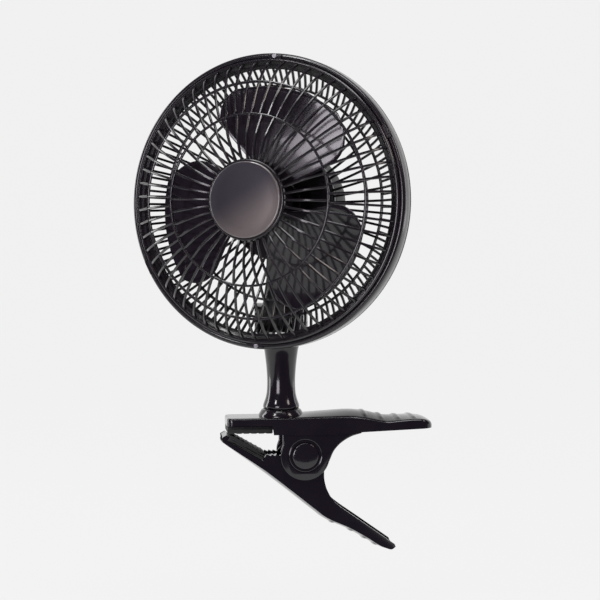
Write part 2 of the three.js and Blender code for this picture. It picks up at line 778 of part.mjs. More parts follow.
// One blade: a grid of a box bent into a pitched, cambered paddle with rounded outer corners.
function blade(centre) {
  const thick = 1.6;
  const rootRadius = hubRadius - 2;
  const geometry = new THREE.BoxGeometry(1, 1, 1, 8, 1, 8);
  const position = geometry.attributes.position;
  for (let i = 0; i < position.count; i += 1) {
    const across = 2 * position.getX(i);
    const out = position.getZ(i) + 0.5;
    const radius = rootRadius + (bladeRadius - rootRadius) * out;
    const rounding = Math.sqrt(1 - Math.max(0, (out - 0.62) / 0.38) ** 2 * 0.62);
    const widening = 14 * Math.sin(Math.min(1, out * 1.5) * Math.PI / 2);
    const halfSpan = THREE.MathUtils.degToRad(30 + widening) * rounding;
    const sweepForward = THREE.MathUtils.degToRad(10) * out;
    const angle = centre - halfSpan * across + sweepForward;
    const chord = radius * halfSpan;
    const pitch = THREE.MathUtils.degToRad(26 - 8 * out);
    const depth = -2 + chord * across * Math.tan(pitch) * 0.62 + 2.4 * (1 - across ** 2) * out;
    const side = position.getY(i) * thick * (1 - 0.35 * across ** 2);
    position.setXYZ(i, radius * Math.cos(angle), depth + side, radius * Math.sin(angle));
  }
  return solid(geometry);
}

function fanBlade() {
  const hub = turned([
    [shaftHole, -14.4],
    [10, -14.4],
    [hubRadius - 1.6, -12.6],
    [hubRadius, -10],
    [hubRadius, 10],
    [hubRadius - 1.8, 10],
    [hubRadius - 1.8, -8],
    [5.6, -11.4],
    [5.6, 18],
    [shaftHole, 18],
  ], 24);
  const core = rod('y', hubRadius - 0.9, -30, 40);
  const blades = [];
  for (let i = 0; i < bladeCount; i += 1) {
    blades.push(cut(blade(THREE.MathUtils.degToRad(66) + (2 * Math.PI * i) / bladeCount), core));
  }
  return join(hub, ...blades);
}

const bladeNut = () => washer('y', shaftHole, 4.6, -17.6, -14.8, [0, 0, 0], 6);

// The speed knob turns on the switch's spindle behind the housing.
function speedKnob() {
  const back = coverBack + 0.5;
  const grip = rod('y', 9.4, back, back + 2.2, [0, 0, knobZ]);
  const cap = rod('y', 7.6, back + 2, back + 10, [0, 0, knobZ], 20, 7);
  const bar = box([-2, back + 9.8, knobZ - 6.6], [2, back + 12.4, knobZ + 6.6]);
  const spindle = rod('y', 2.6, 57.4, back + 1, [0, 0, knobZ], 16);
  return join(grip, cap, bar, spindle);
}

// ---- Assembly ----
const fan = new THREE.Group();

const clipGroup = new THREE.Group();
fan.add(clipGroup);
piece('clip_body', clipBody(), blackGloss(), clipGroup);
piece('upper_pad', upperPad(), rubber(), clipGroup);
piece('lower_jaw', lowerJaw(), blackGloss(), clipGroup);
piece('lower_pad', lowerPad(), rubber(), clipGroup);
piece('pivot_pin', pivotPin(), steel(), clipGroup);
piece('pivot_cap_front', pivotCap(-1), blackGloss(), clipGroup);
piece('pivot_cap_back', pivotCap(1), blackGloss(), clipGroup);
piece('torsion_spring', torsionSpring(), steel(), clipGroup);
piece('stem_collar', stemCollar(), blackGloss(), clipGroup);

const stemGroup = new THREE.Group();
stemGroup.position.set(stemX, 0, 0);
stemGroup.rotation.z = swivelRest;
fan.add(stemGroup);
piece('stem', stem(), blackGloss(), stemGroup);
const underPlate = 4.6;
piece('swivel_screw', screw('z', 1.6, 32, underPlate - 1.1, 3.6, 2.2), steel(), stemGroup);
piece('swivel_washer', washer('z', 1.9, 5.4, underPlate - 0.8, underPlate), steel(), stemGroup);
const tiltPlace = [0, 0, tiltZ];
const forkFace = forkWidth / 2;
const tiltScrew = screw('x', 2.2, forkFace - 0.2, -forkFace + 2, 4.2, 1.7, tiltPlace);
piece('tilt_screw', tiltScrew, steel(), stemGroup);
const tiltNut = washer('x', 2.5, 4.2, forkFace - 1.9, forkFace - 0.3, tiltPlace, 6);
piece('tilt_nut', tiltNut, steel(), stemGroup);
const washerFrom = knuckleHalf + gap;
const washerTo = slotHalf - gap;
const leftWasher = washer('x', tiltHole, washerRadius, -washerTo, -washerFrom, tiltPlace);
const rightWasher = washer('x', tiltHole, washerRadius, washerFrom, washerTo, tiltPlace);
piece('tilt_washer_left', leftWasher, nylon(), stemGroup);
piece('tilt_washer_right', rightWasher, nylon(), stemGroup);

const headGroup = new THREE.Group();
headGroup.position.set(0, -tiltBack, tiltZ + tiltDrop);
stemGroup.add(headGroup);
piece('front_guard', frontGuard(), blackSatin(), headGroup);
piece('hub_badge', hubBadge(), badgeFilm(), headGroup);
piece('rear_guard', rearGuard(), blackSatin(), headGroup);
piece('motor_cover', motorCover(), blackSatin(), headGroup);
piece('cord_gland', cordGland(), rubber(), headGroup);
piece('stator_core', statorCore(), laminations(), headGroup);
piece('bobbin', bobbin(), nylon(), headGroup);
piece('winding', winding(), copper(), headGroup);
piece('bracket_front', bearingBracket(coreFront - gap, coreFront - 2.9), steel(), headGroup);
piece('bracket_rear', bearingBracket(coreBack + gap, coreBack + 2.9), steel(), headGroup);
piece('bearing_front', bearing(30.4, 36), bronze(), headGroup);
piece('bearing_rear', bearing(50, 55.4), bronze(), headGroup);
const strapBack = coreBack + 4.7;
[-boltX, boltX].forEach((x, i) => {
  const body = screw('y', 1.5, plateBack + 0.8, strapBack + gap, 3, 1.9, [x, 0, 0]);
  piece(`motor_screw_${i + 1}`, body, steel(), headGroup);
});
coverScrews.forEach(([x, z], i) => {
  const body = screw('y', 1.2, 42, 26.1, 2.8, 1.6, [x, 0, z]);
  piece(`cover_screw_${i + 1}`, body, steel(), headGroup);
});
earAngles.forEach((angle, i) => {
  const body = screw('y', 0.5, 7, -2.5, 1.4, 0.9, rimHolePlace(angle));
  piece(`guard_screw_${i + 1}`, body, steel(), headGroup);
});
piece('switch_body', switchBody(), nylon(), headGroup);
piece('lead_1', lead(-1), leadSheath(), headGroup);
piece('lead_2', lead(1), leadSheath(), headGroup);
piece('fan_blade', fanBlade(), bladePlastic(), headGroup);
piece('blade_nut', bladeNut(), steel(), headGroup);
piece('shaft', shaft(), steel(), headGroup);
piece('rotor_core', rotorCore(), laminations(), headGroup);
piece('speed_knob', speedKnob(), blackSatin(), headGroup);

export default fan;
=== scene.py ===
import json
from math import atan2, cos, degrees, hypot, pi, radians, sin, sqrt, tan, tau

import bpy
from mathutils import Matrix, Vector


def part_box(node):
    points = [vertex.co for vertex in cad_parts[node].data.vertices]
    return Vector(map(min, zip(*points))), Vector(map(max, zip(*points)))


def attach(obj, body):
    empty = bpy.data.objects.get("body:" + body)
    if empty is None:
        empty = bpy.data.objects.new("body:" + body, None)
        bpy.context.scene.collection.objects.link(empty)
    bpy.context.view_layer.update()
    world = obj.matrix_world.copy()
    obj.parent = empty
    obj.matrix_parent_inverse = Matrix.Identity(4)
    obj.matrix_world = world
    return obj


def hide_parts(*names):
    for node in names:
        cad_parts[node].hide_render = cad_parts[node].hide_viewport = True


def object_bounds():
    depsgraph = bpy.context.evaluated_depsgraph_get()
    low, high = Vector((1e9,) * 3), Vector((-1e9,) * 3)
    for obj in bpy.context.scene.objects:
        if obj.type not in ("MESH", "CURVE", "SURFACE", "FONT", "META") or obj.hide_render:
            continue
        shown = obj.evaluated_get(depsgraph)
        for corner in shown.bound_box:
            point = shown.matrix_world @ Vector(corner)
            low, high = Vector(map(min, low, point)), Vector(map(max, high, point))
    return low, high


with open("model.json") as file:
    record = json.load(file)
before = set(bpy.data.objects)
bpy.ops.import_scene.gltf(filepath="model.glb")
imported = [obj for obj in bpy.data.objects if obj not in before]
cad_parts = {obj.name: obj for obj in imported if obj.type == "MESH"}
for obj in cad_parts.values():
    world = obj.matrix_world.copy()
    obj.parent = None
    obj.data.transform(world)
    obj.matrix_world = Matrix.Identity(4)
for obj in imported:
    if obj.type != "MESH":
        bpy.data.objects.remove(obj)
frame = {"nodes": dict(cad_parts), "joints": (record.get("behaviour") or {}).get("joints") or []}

cad_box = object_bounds()

# ---- Camera, light and floor ----
# A long lens stands almost level with the fan, a little to the jaw side of the clip. Soft boxes
# light it from both sides, from above and on the blades, and a pale sweep curves up behind it.

swivel_x = next(joint["pos_m"][0] for joint in frame["joints"] if joint["name"] == "swivel")
aim = Vector((0.0348, 0, 0.0885))
camera_distance = 1.0
camera_azimuth = radians(-6)
camera_rise = radians(1.2)
view_width = 0.4052

lens = bpy.data.cameras.new("camera")
camera = bpy.data.objects.new("camera", lens)
bpy.context.scene.collection.objects.link(camera)
back = Vector((
    sin(camera_azimuth) * cos(camera_rise),
    -cos(camera_azimuth) * cos(camera_rise),
    sin(camera_rise),
))
camera.location = aim + camera_distance * back
camera.rotation_euler = back.to_track_quat("Z", "Y").to_euler()
lens.lens = lens.sensor_width * camera_distance / view_width
bpy.context.scene.camera = camera
bpy.context.scene.view_settings.view_transform = "Standard"


def soft_box(name, azimuth, rise, distance, size, power, tint=(1, 1, 1)):
    """A soft box that faces the fan from a direction in degrees: 0 is in front, negative to the left."""
    azimuth, rise = radians(azimuth), radians(rise)
    toward = Vector((sin(azimuth) * cos(rise), -cos(azimuth) * cos(rise), sin(rise)))
    light = bpy.data.lights.new(name, "AREA")
    light.shape = "RECTANGLE"
    light.size, light.size_y = size
    light.energy = power
    light.color = tint
    lamp = bpy.data.objects.new(name, light)
    lamp.location = aim + distance * toward
    lamp.rotation_euler = toward.to_track_quat("Z", "Y").to_euler()
    lamp.visible_camera = False
    bpy.context.scene.collection.objects.link(lamp)


soft_box("left_window", -46, 37, 1.4, (0.16, 0.45), 4.5)
soft_box("right_window", 48, 35, 1.4, (0.26, 0.5), 3, (1, 0.9, 0.82))
soft_box("top_box", -10, 68, 1.2, (0.9, 0.5), 8)
soft_box("blade_box", -31, -0.5, 1.4, (0.5, 0.4), 4.4, (0.98, 0.92, 1))
soft_box("left_rim_box", -112, 12, 1.3, (0.3, 1.0), 5)
soft_box("right_rim_box", 112, 14, 1.3, (0.3, 1.0), 1.5)

world = bpy.data.worlds.new("studio")
world.use_nodes = True
room = world.node_tree.nodes
dark_room = room["Background"]
dark_room.inputs["Color"].default_value = (0.83, 0.62, 0.94, 1)
dark_room.inputs["Strength"].default_value = 0.13
pale_room = room.new("ShaderNodeBackground")
pale_room.inputs["Color"].default_value = (0.88, 0.88, 0.88, 1)
seen = room.new("ShaderNodeLightPath")
either = room.new("ShaderNodeMixShader")
world.node_tree.links.new(seen.outputs["Is Camera Ray"], either.inputs["Fac"])
world.node_tree.links.new(dark_room.outputs[0], either.inputs[1])
world.node_tree.links.new(pale_room.outputs[0], either.inputs[2])
world.node_tree.links.new(either.outputs[0], room["World Output"].inputs["Surface"])
bpy.context.scene.world = world


def clear_selection():
    """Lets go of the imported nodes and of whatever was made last."""
    bpy.ops.object.select_all(action="DESELECT")


sweep_floor = cad_box[0].z - 0.05
clear_selection()
bpy.ops.mesh.primitive_plane_add(size=2, location=(0, 0.6, sweep_floor))
bpy.context.object.data.transform(Matrix.Diagonal((4, 1, 1, 1)))
sweep = bpy.context.object
sweep.name = "sweep"
bpy.ops.object.mode_set(mode="EDIT")
bpy.ops.mesh.select_mode(type="EDGE")
bpy.ops.mesh.select_all(action="DESELECT")
bpy.ops.object.mode_set(mode="OBJECT")
for edge in sweep.data.edges:
    edge.select = all(sweep.data.vertices[i].co.y > 0.5 for i in edge.vertices)
bpy.ops.object.mode_set(mode="EDIT")
bend_steps = 16
bend_radius = 0.9
for step in range(bend_steps):
    turn = (step + 0.5) * pi / 2 / bend_steps
    length = bend_radius * pi / 2 / bend_steps
    bpy.ops.mesh.extrude_region_move(
        TRANSFORM_OT_translate={"value": (0, length * cos(turn), length * sin(turn))}
    )
bpy.ops.mesh.extrude_region_move(TRANSFORM_OT_translate={"value": (0, 0, 3)})
bpy.ops.object.mode_set(mode="OBJECT")
bpy.ops.object.shade_smooth()
paper = bpy.data.materials.new("sweep_paper")
paper.use_nodes = True
paper_surface = paper.node_tree.nodes["Principled BSDF"]
paper_surface.inputs["Base Color"].default_value = (0.04, 0.04, 0.04, 1)
paper_surface.inputs["Roughness"].default_value = 0.95
paper_surface.inputs["Specular IOR Level"].default_value = 0
paper_surface.inputs["Emission Color"].default_value = (1, 1, 1, 1)
paper_surface.inputs["Emission Strength"].default_value = 0.86
sweep.data.materials.append(paper)

# ---- Fixed half of the clip ----
# One ABS moulding: a crowned top plate that carries the stem, with finger ribs across its handle,
# and two cheeks that come down to round bosses for the hinge pin. The black is in the plastic.

MM = 0.001
clip_place = Matrix.Scale(MM, 4)


class Shade:
    """A socket in a finish's nodes, so that what is done with it reads as a sum."""

    def __init__(self, finish, socket):
        self.finish = finish
        self.socket = socket

    def maths(self, operation, first, second=0.0):
        return self.finish.node("ShaderNodeMath", {"operation": operation}, {0: first, 1: second})

    def __add__(self, other):
        return self.maths("ADD", self, other)

    def __sub__(self, other):
        return self.maths("SUBTRACT", self, other)

    def __rsub__(self, other):
        return self.maths("SUBTRACT", other, self)

    def __mul__(self, other):
        return self.maths("MULTIPLY", self, other)

    def __truediv__(self, other):
        return self.maths("DIVIDE", self, other)

    def __pow__(self, other):
        return self.maths("POWER", self, other)

    __radd__ = __add__
    __rmul__ = __mul__

    def between(self, low, high):
        """0 below the low value, 1 above the high one, with a soft step between."""
        return self.finish.node(
            "ShaderNodeMapRange",
            {"interpolation_type": "SMOOTHSTEP"},
            {"Value": self, "From Min": low, "From Max": high},
        )


class Finish:
    """A procedural material on the Principled shader."""

    def __init__(self, name, **uniform):
        self.material = bpy.data.materials.new(name)
        self.material.use_nodes = True
        self.nodes = self.material.node_tree.nodes
        self.links = self.material.node_tree.links
        self.surface = self.nodes["Principled BSDF"]
        for key, value in uniform.items():
            self.surface.inputs[key.replace("_", " ")].default_value = value
        self.place = self.node("ShaderNodeTexCoord", output="Object")

    def feed(self, socket, value):
        if isinstance(value, Shade):
            self.links.new(value.socket, socket)
        else:
            socket.default_value = value

    def node(self, kind, settings=None, values=None, output=0):
        """Adds a node, makes its settings, fills its sockets and gives one of its outputs."""
        made = self.nodes.new(kind)
        for key, value in (settings or {}).items():
            setattr(made, key, value)
        for key, value in (values or {}).items():
            self.feed(made.inputs[key], value)
        return Shade(self, made.outputs[output])

    def noise(self, scale, detail=2.0, rough=0.5, place=None):
        values = {"Vector": place or self.place, "Scale": scale, "Detail": detail, "Roughness": rough}
        return self.node("ShaderNodeTexNoise", values=values)

    def mix(self, share, first, second):
        """A blend of two colours."""
        made = self.nodes.new("ShaderNodeMix")
        made.data_type = "RGBA"
        self.feed(made.inputs["Factor"], share)
        self.feed(made.inputs[6], first)
        self.feed(made.inputs[7], second)
        return Shade(self, made.outputs[2])

    def set(self, **changing):
        """Links what varies over the surface; a height goes in through relief, which adds a Bump node."""
        for key, value in changing.items():
            self.feed(self.surface.inputs[key.replace("_", " ")], value)

    def relief(self, height, distance, strength=1.0):
        values = {"Height": height, "Distance": distance, "Strength": strength}
        self.set(Normal=self.node("ShaderNodeBump", values=values))


def grey(level, blue=1.0):
    """A near-neutral colour; blue above 1 cools it."""
    return (level, level, level * blue, 1)


def moulded_gloss(name, dark, light, roughness, swirl=35):
    """Glossy injection-moulded plastic: faint flow marks, a soft orange peel, dull handled patches."""
    finish = Finish(name, IOR=1.5, Coat_Roughness=0.06)
    flow = finish.noise(swirl, 4, 0.6)
    handled = finish.noise(18, 5, 0.65).between(0.5, 0.72)
    peel = finish.noise(620, 1)
    dust = finish.noise(2600, 2, 0.7).between(0.72, 0.8)
    colour = finish.mix(flow.between(0.3, 0.7), dark, light)
    finish.set(
        Base_Color=finish.mix(dust * 0.3, colour, grey(0.06)),
        Roughness=roughness + 0.07 * handled + 0.04 * flow + 0.2 * dust,
        Coat_Weight=0.3 - 0.2 * handled,
    )
    finish.relief(peel * 0.5 + flow * 0.5, 0.00003, 0.2)
    return finish.material


def through(points, steps):
    """A smooth line through given points, by a Catmull-Rom spline."""
    line = []
    ends = [points[0], *points, points[-1]]
    for before, here, there, after in zip(ends, ends[1:], ends[2:], ends[3:]):
        for step in range(steps):
            t = step / steps
            line.append(tuple(
                0.5 * (2 * q + (r - p) * t + (2 * p - 5 * q + 4 * r - s) * t ** 2
                       + (3 * q - p - 3 * r + s) * t ** 3)
                for p, q, r, s in zip(before, here, there, after)
            ))
    return [*line, tuple(points[-1])]


def height_on(line, x):
    """The line's second number where its first number is x."""
    for (x0, z0), (x1, z1) in zip(line, line[1:]):
        if x <= x1:
            break
    return z0 + (z1 - z0) * (x - x0) / (x1 - x0)


def rounded(corners, radius, steps=5):
    """An outline with its corners turned into arcs; a corner may give a radius of its own."""
    outline = []
    for i, corner in enumerate(corners):
        here = Vector(corner[:2])
        before = Vector(corners[i - 1][:2]) - here
        after = Vector(corners[(i + 1) % len(corners)][:2]) - here
        wanted = corner[2] if len(corner) > 2 else radius
        opening = before.angle(after)
        if wanted == 0 or opening > radians(176):
            outline.append(tuple(here))
            continue
        reach = min(wanted / tan(opening / 2), 0.48 * before.length, 0.48 * after.length)
        arc = reach * tan(opening / 2)
        middle = here + (before.normalized() + after.normalized()).normalized() * arc / sin(opening / 2)
        start = here + before.normalized() * reach - middle
        turn = start.angle_signed(here + after.normalized() * reach - middle)
        for step in range(steps + 1):
            angle = -turn * step / steps
            spoke = Vector((
                start.x * cos(angle) - start.y * sin(angle),
                start.x * sin(angle) + start.y * cos(angle),
            ))
            outline.append(tuple(middle + spoke))
    return outline


def oblong(left, low, right, high):
    """The outline of a rectangle."""
    return [(left, low), (right, low), (right, high), (left, high)]


def arc_points(centre, radius, start, end, steps):
    """Points on an arc, in degrees, anticlockwise from start to end or back."""
    angles = [radians(start + (end - start) * step / steps) for step in range(steps + 1)]
    return [(centre[0] + radius * cos(angle), centre[1] + radius * sin(angle)) for angle in angles]


def edit(*steps):
    """Runs edit-mode operators on the whole of the active object."""
    bpy.ops.object.mode_set(mode="EDIT")
    bpy.ops.mesh.select_all(action="SELECT")
    for step, options in steps:
        step(**options)
    bpy.ops.object.mode_set(mode="OBJECT")


def outline_object(outline, upright):
    """A flat n-gon with one corner for each point of an outline, from a circle primitive."""
    clear_selection()
    bpy.ops.mesh.primitive_circle_add(vertices=len(outline), fill_type="NGON")
    piece = bpy.context.object
    for corner, point in zip(piece.data.vertices, outline):
        corner.co = upright(*point)
    return piece


def plate(outline, axis, start, end):
    """An outline given thickness along an axis, from start to end, and lying across that axis."""
    flat = {
        "X": lambda a, b: (start, a, b),
        "Y": lambda a, b: (a, start, b),
        "Z": lambda a, b: (a, b, start),
    }[axis]
    move = {"Y": (0, end - start, 0), "X": (end - start, 0, 0), "Z": (0, 0, end - start)}[axis]
    piece = outline_object(outline, flat)
    edit(
        (bpy.ops.mesh.extrude_region_move, {"TRANSFORM_OT_translate": {"value": move}}),
        (bpy.ops.mesh.select_all, {"action": "SELECT"}),
        (bpy.ops.mesh.normals_make_consistent, {"inside": False}),
    )
    return piece


UP = (0, 0, 1)
weld = 0.002


def turned(section, steps=96, axis=(0, 1, 0)):
    """A closed half section of (radius, height) points spun round an axis through the origin."""
    along_y = axis[1] == 1
    clear_selection()
    bpy.ops.mesh.primitive_circle_add(vertices=len(section), fill_type="NOTHING")
    piece = bpy.context.object
    for corner, (radius, height) in zip(piece.data.vertices, section):
        corner.co = (radius, height, 0) if along_y else (radius, 0, height)
    edit(
        (bpy.ops.mesh.spin, {"steps": steps, "angle": tau, "center": (0, 0, 0), "axis": axis}),
        (bpy.ops.mesh.select_all, {"action": "SELECT"}),
        (bpy.ops.mesh.remove_doubles, {"threshold": weld}),
        (bpy.ops.mesh.normals_make_consistent, {"inside": False}),
    )
    return piece


def rod(radius, start, end, steps, axis=(0, 1, 0)):
    """A round bar on an axis through the origin, mostly used as a cutting tool."""
    return turned([(0, start), (radius, start), (radius, end), (0, end)], steps, axis)


def modify(piece, kind, **settings):
    """Adds a modifier, sets it and applies it."""
    clear_selection()
    piece.select_set(True)
    bpy.context.view_layer.objects.active = piece
    modifier = piece.modifiers.new(kind.lower(), kind)
    for key, value in settings.items():
        setattr(modifier, key, value)
    bpy.ops.object.modifier_apply(modifier=modifier.name)


def combine(piece, tools, operation):
    """Joins, cuts or trims a piece with other solids, which are used up."""
    for tool in tools:
        modify(piece, "BOOLEAN", operation=operation, solver="EXACT", object=tool)
        bpy.data.objects.remove(tool)


def soften(piece, width, angle=30, segments=2):
    """Rounds the sharp edges."""
    modify(piece, "BEVEL", width=width, segments=segments, limit_method="ANGLE",
           angle_limit=radians(angle), use_clamp_overlap=True, harden_normals=False)


def moved(piece, matrix):
    """Moves a tool or a part of a piece within its own mesh."""
    piece.data.transform(matrix)
    return piece


def settle(piece, name, place, body, nodes, material, crease=32):
    """Puts a finished piece in its place, with its finish, its body and the CAD nodes it stands for."""
    piece.name = name
    piece.data.name = name
    piece.data.transform(place)
    piece.data.update()
    clear_selection()
    piece.select_set(True)
    bpy.context.view_layer.objects.active = piece
    bpy.ops.object.shade_smooth_by_angle(angle=radians(crease))
    piece.data.materials.clear()
    piece.data.materials.append(material)
    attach(piece, body)
    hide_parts(*nodes)
    return piece


gloss_black = moulded_gloss("gloss_black", (0.005, 0.0038, 0.0066, 1), (0.0075, 0.006, 0.0088, 1), 0.12)

pivot = (36.6, -14.9)
jaw_end, handle_end = -15.4, 122.8
jaw_corner, handle_corner = 4, 8
wall = 1.5
edge_round = 1.6
boss_radius = 16.5
pad_end = 15.3
handle_ribs = (77.1, 88.2, 99.6, 110.2)
rib_half, rib_height = 1.9, 0.75
edge_line = through([
    (jaw_end, 10.2), (20, 10.4), (54, 10.8), (68, 10.7), (78, 9.5), (87, 7.9), (93, 7.3),
    (101.6, 8.2), (111, 8.9), (118, 8.4), (handle_end, 6.2),
], 6)
crown_line = through([
    (jaw_end, 0), (20, 0.4), (36, 2.0), (54, 3.1), (68, 3.9), (80, 4.0), (90, 3.4), (101, 2.3),
    (111, 1.6), (handle_end, 0.9),
], 6)
skirt_foot = [(pad_end, -0.9), (57, -0.9), (66, -0.4), (76, 0.6), (handle_end, 2.9)]
side_edge = [(jaw_end, 16.5), (pivot[0], 18), (56.6, 18), (114.8, 19.5), (handle_end, 19.5)]


def corner_loss(distance, radius):
    """How much a round corner takes off the half width near an end."""
    inside = min(1, max(0, 1 - distance / radius))
    return radius * (1 - sqrt(1 - inside ** 2))


def clip_half_width(x):
    straight = height_on(side_edge, x)
    return straight - corner_loss(x - jaw_end, jaw_corner) - corner_loss(handle_end - x, handle_corner)


def clip_top(x, y):
    """The crowned top over a point of the plan, with its finger ribs."""
    across = min(1, abs(y) / clip_half_width(x))
    fade = min(1, max(0, (0.86 - across) / 0.16))
    rib = sum(max(0, 1 - ((x - centre) / rib_half) ** 2) for centre in handle_ribs)
    return height_on(edge_line, x) + height_on(crown_line, x) * (1 - across ** 2) + rib_height * rib * fade


def shell(columns, rows, surface, thickness):
    """A grid laid on a surface of (along 0..1, across -1..1), with its thickness below it."""
    clear_selection()
    bpy.ops.mesh.primitive_grid_add(x_subdivisions=columns, y_subdivisions=rows, size=2)
    piece = bpy.context.object
    for corner in piece.data.vertices:
        corner.co = surface((corner.co.x + 1) / 2, corner.co.y)
    edit(
        (bpy.ops.mesh.remove_doubles, {"threshold": weld}),
        (bpy.ops.mesh.normals_make_consistent, {"inside": False}),
    )
    modify(piece, "SOLIDIFY", thickness=thickness, offset=-1)
    edit((bpy.ops.mesh.normals_make_consistent, {"inside": False}))
    return piece


# Once round the plan: along the front side, round the handle, back, and round the jaw.
side_steps = 210
end_steps = 8
clip_length = handle_end - jaw_end
side_x = [jaw_end + clip_length * (1 - cos(pi * i / side_steps)) / 2 for i in range(side_steps + 1)]
plan = [(x, -clip_half_width(x)) for x in side_x]
end_half = clip_half_width(handle_end)
plan += [(handle_end, end_half * (2 * i / end_steps - 1)) for i in range(1, end_steps)]
plan += [(x, -y) for x, y in reversed(plan[:side_steps + 1])]
end_half = clip_half_width(jaw_end)
plan += [(jaw_end, end_half * (1 - 2 * i / end_steps)) for i in range(1, end_steps)]
plan.append(plan[0])
top_rows, round_rows, skirt_rows = 12, 5, 3
spine_start, spine_end = jaw_end + 12, handle_end - 12


def clip_surface(along, across):
    """From the spine out over the crown, round the edge and down the skirt."""
    x, y = plan[round(along * (len(plan) - 1))]
    row = round((across + 1) / 2 * (top_rows + round_rows + skirt_rows))
    inward = Vector((min(max(x, spine_start), spine_end) - x, -y))
    reach = inward.length
    if row <= top_rows:
        inset, drop = edge_round + (reach - edge_round) * (1 - row / top_rows), 0
    else:
        turn = min(1, (row - top_rows) / round_rows) * pi / 2
        inset, drop = edge_round * (1 - sin(turn)), edge_round * (1 - cos(turn))
    place = Vector((x, y)) + inward.normalized() * inset
    z = clip_top(place.x, place.y) - drop
    if row > top_rows + round_rows:
        foot = 5 if x < pad_end else height_on(skirt_foot, x)
        z += (foot - z) * (row - top_rows - round_rows) / skirt_rows
    return place.x, place.y, z


clip_body = shell(len(plan) - 1, top_rows + round_rows + skirt_rows, clip_surface, wall)

cheek_inner, cheek_outer = 15, 17
wall_x = 21.7
wall_foot = pivot[1] + sqrt(boss_radius ** 2 - (pivot[0] - wall_x) ** 2)
wall_angle = 180 - atan2(wall_foot - pivot[1], pivot[0] - wall_x) * 180 / pi
cheek = [
    (wall_x, 3), (wall_x, wall_foot),
    *arc_points(pivot, boss_radius, wall_angle + 4, 345, 40),
    *through([(53.4, -17.2), (56, -11.6), (60.6, -6.6), (67.4, -2.4), (74, -0.4)], 5),
    (78, 3),
]
joined = [plate(cheek, "Y", side * (cheek_inner - 0.6), side * cheek_outer) for side in (-1, 1)]
for solid in joined:
    soften(solid, 0.6, 40, 3)
web_half = 0.8
for x in (34, 50, 66):
    low, high = 4.5, height_on(edge_line, x) - 1
    half = cheek_inner + 0.5
    stiffener = [(-half, high), (-half, low), (half, low), (half, high)]
    joined.append(plate(stiffener, "X", x - web_half, x + web_half))
screw_boss = turned([(2.3, 4.8), (6.4, 4.8), (6.4, 10), (2.3, 10)], 40, UP)
at_swivel = Matrix.Translation((1000 * swivel_x, 0, 0))
joined.append(moved(screw_boss, at_swivel))
combine(clip_body, joined, "UNION")

cap_seat, seat_depth = 9.2, 0.9
groove_start, groove_end = 10.2, 11.4
pin_hole = 3.3
beyond = 30
at_pivot = Matrix.Translation((pivot[0], 0, pivot[1]))
cuts = [moved(rod(pin_hole, -beyond, beyond, 32), at_pivot)]
for side in (-1, 1):
    outside = side * (cheek_outer + 4)
    seat = side * (cheek_outer - seat_depth)
    face, middle, bottom = (side * (cheek_outer + rise) for rise in (0, -0.35, -0.5))
    cuts.append(moved(rod(cap_seat, seat, outside, 64), at_pivot))
    ring = [
        (groove_start, outside), (groove_start, face), (groove_start + 0.2, middle),
        (groove_start + 0.6, bottom), (groove_end - 0.2, middle), (groove_end, face), (groove_end, outside),
    ]
    cuts.append(moved(turned(ring, 64), at_pivot))
combine(clip_body, cuts, "DIFFERENCE")
soften(clip_body, 0.35, 40)
settle(clip_body, "clip_top_half", clip_place, "clip", ["clip_body"], gloss_black)

# ---- Jaw pads ----
# Two blocks of black rubber pressed into the jaws. The upper one has grooves across its face, the
# lower one small ribs, and both have a bead along their sides from the mould.

rubber = Finish("pad_rubber", IOR=1.48)
rubber_dust = rubber.noise(900, 3, 0.7).between(0.55, 0.75)
rubber.set(
    Base_Color=rubber.mix(rubber_dust * 0.5, grey(0.008, 1.05), grey(0.018)),
    Roughness=0.5 + 0.25 * rubber.noise(160, 3),
)
rubber.relief(rubber.noise(1500, 3, 0.7), 0.00008, 0.5)
pad_rubber = rubber.material

pad_length, pad_thick, pad_half = 30, 4.5, 15


def ribbed_edge(length, pitch, depth):
    """The gripping edge of a pad: flat lands with round grooves or ribs between them."""
    edge = []
    for i in range(1, round(length / pitch)):
        x = i * pitch
        edge += [(x - 0.9, 0), (x - 0.5, 0.7 * depth), (x, depth), (x + 0.5, 0.7 * depth), (x + 0.9, 0)]
    return edge


upper = [(0, pad_thick), (0, 0.5), (0.5, 0), *ribbed_edge(pad_length, 5, 0.35),
         (pad_length - 0.5, 0), (pad_length, 0.5), (pad_length, pad_thick)]
upper_pad = plate([(x - pad_length / 2, z) for x, z in upper], "Y", -pad_half, pad_half)
for side in (-1, 1):
    bead = rounded(oblong(-14.6, 1.9, 14.6, 3.1), 0.5)
    bead = plate(bead, "Y", side * (pad_half - 1), side * (pad_half + 0.5))
    combine(upper_pad, [bead], "UNION")
soften(upper_pad, 0.25)
settle(upper_pad, "upper_jaw_pad", clip_place, "clip", ["upper_pad"], pad_rubber)

pad_slope = radians(29.6)
pad_start = (-13, -0.6)
lower_length = 27
arm_half = 14.4


def on_slope(along_pad, depth):
    """A point of the side view, measured along the lower pad's face and into the jaw."""
    return (
        pad_start[0] + along_pad * cos(pad_slope) - depth * sin(pad_slope),
        pad_start[1] - along_pad * sin(pad_slope) - depth * cos(pad_slope),
    )


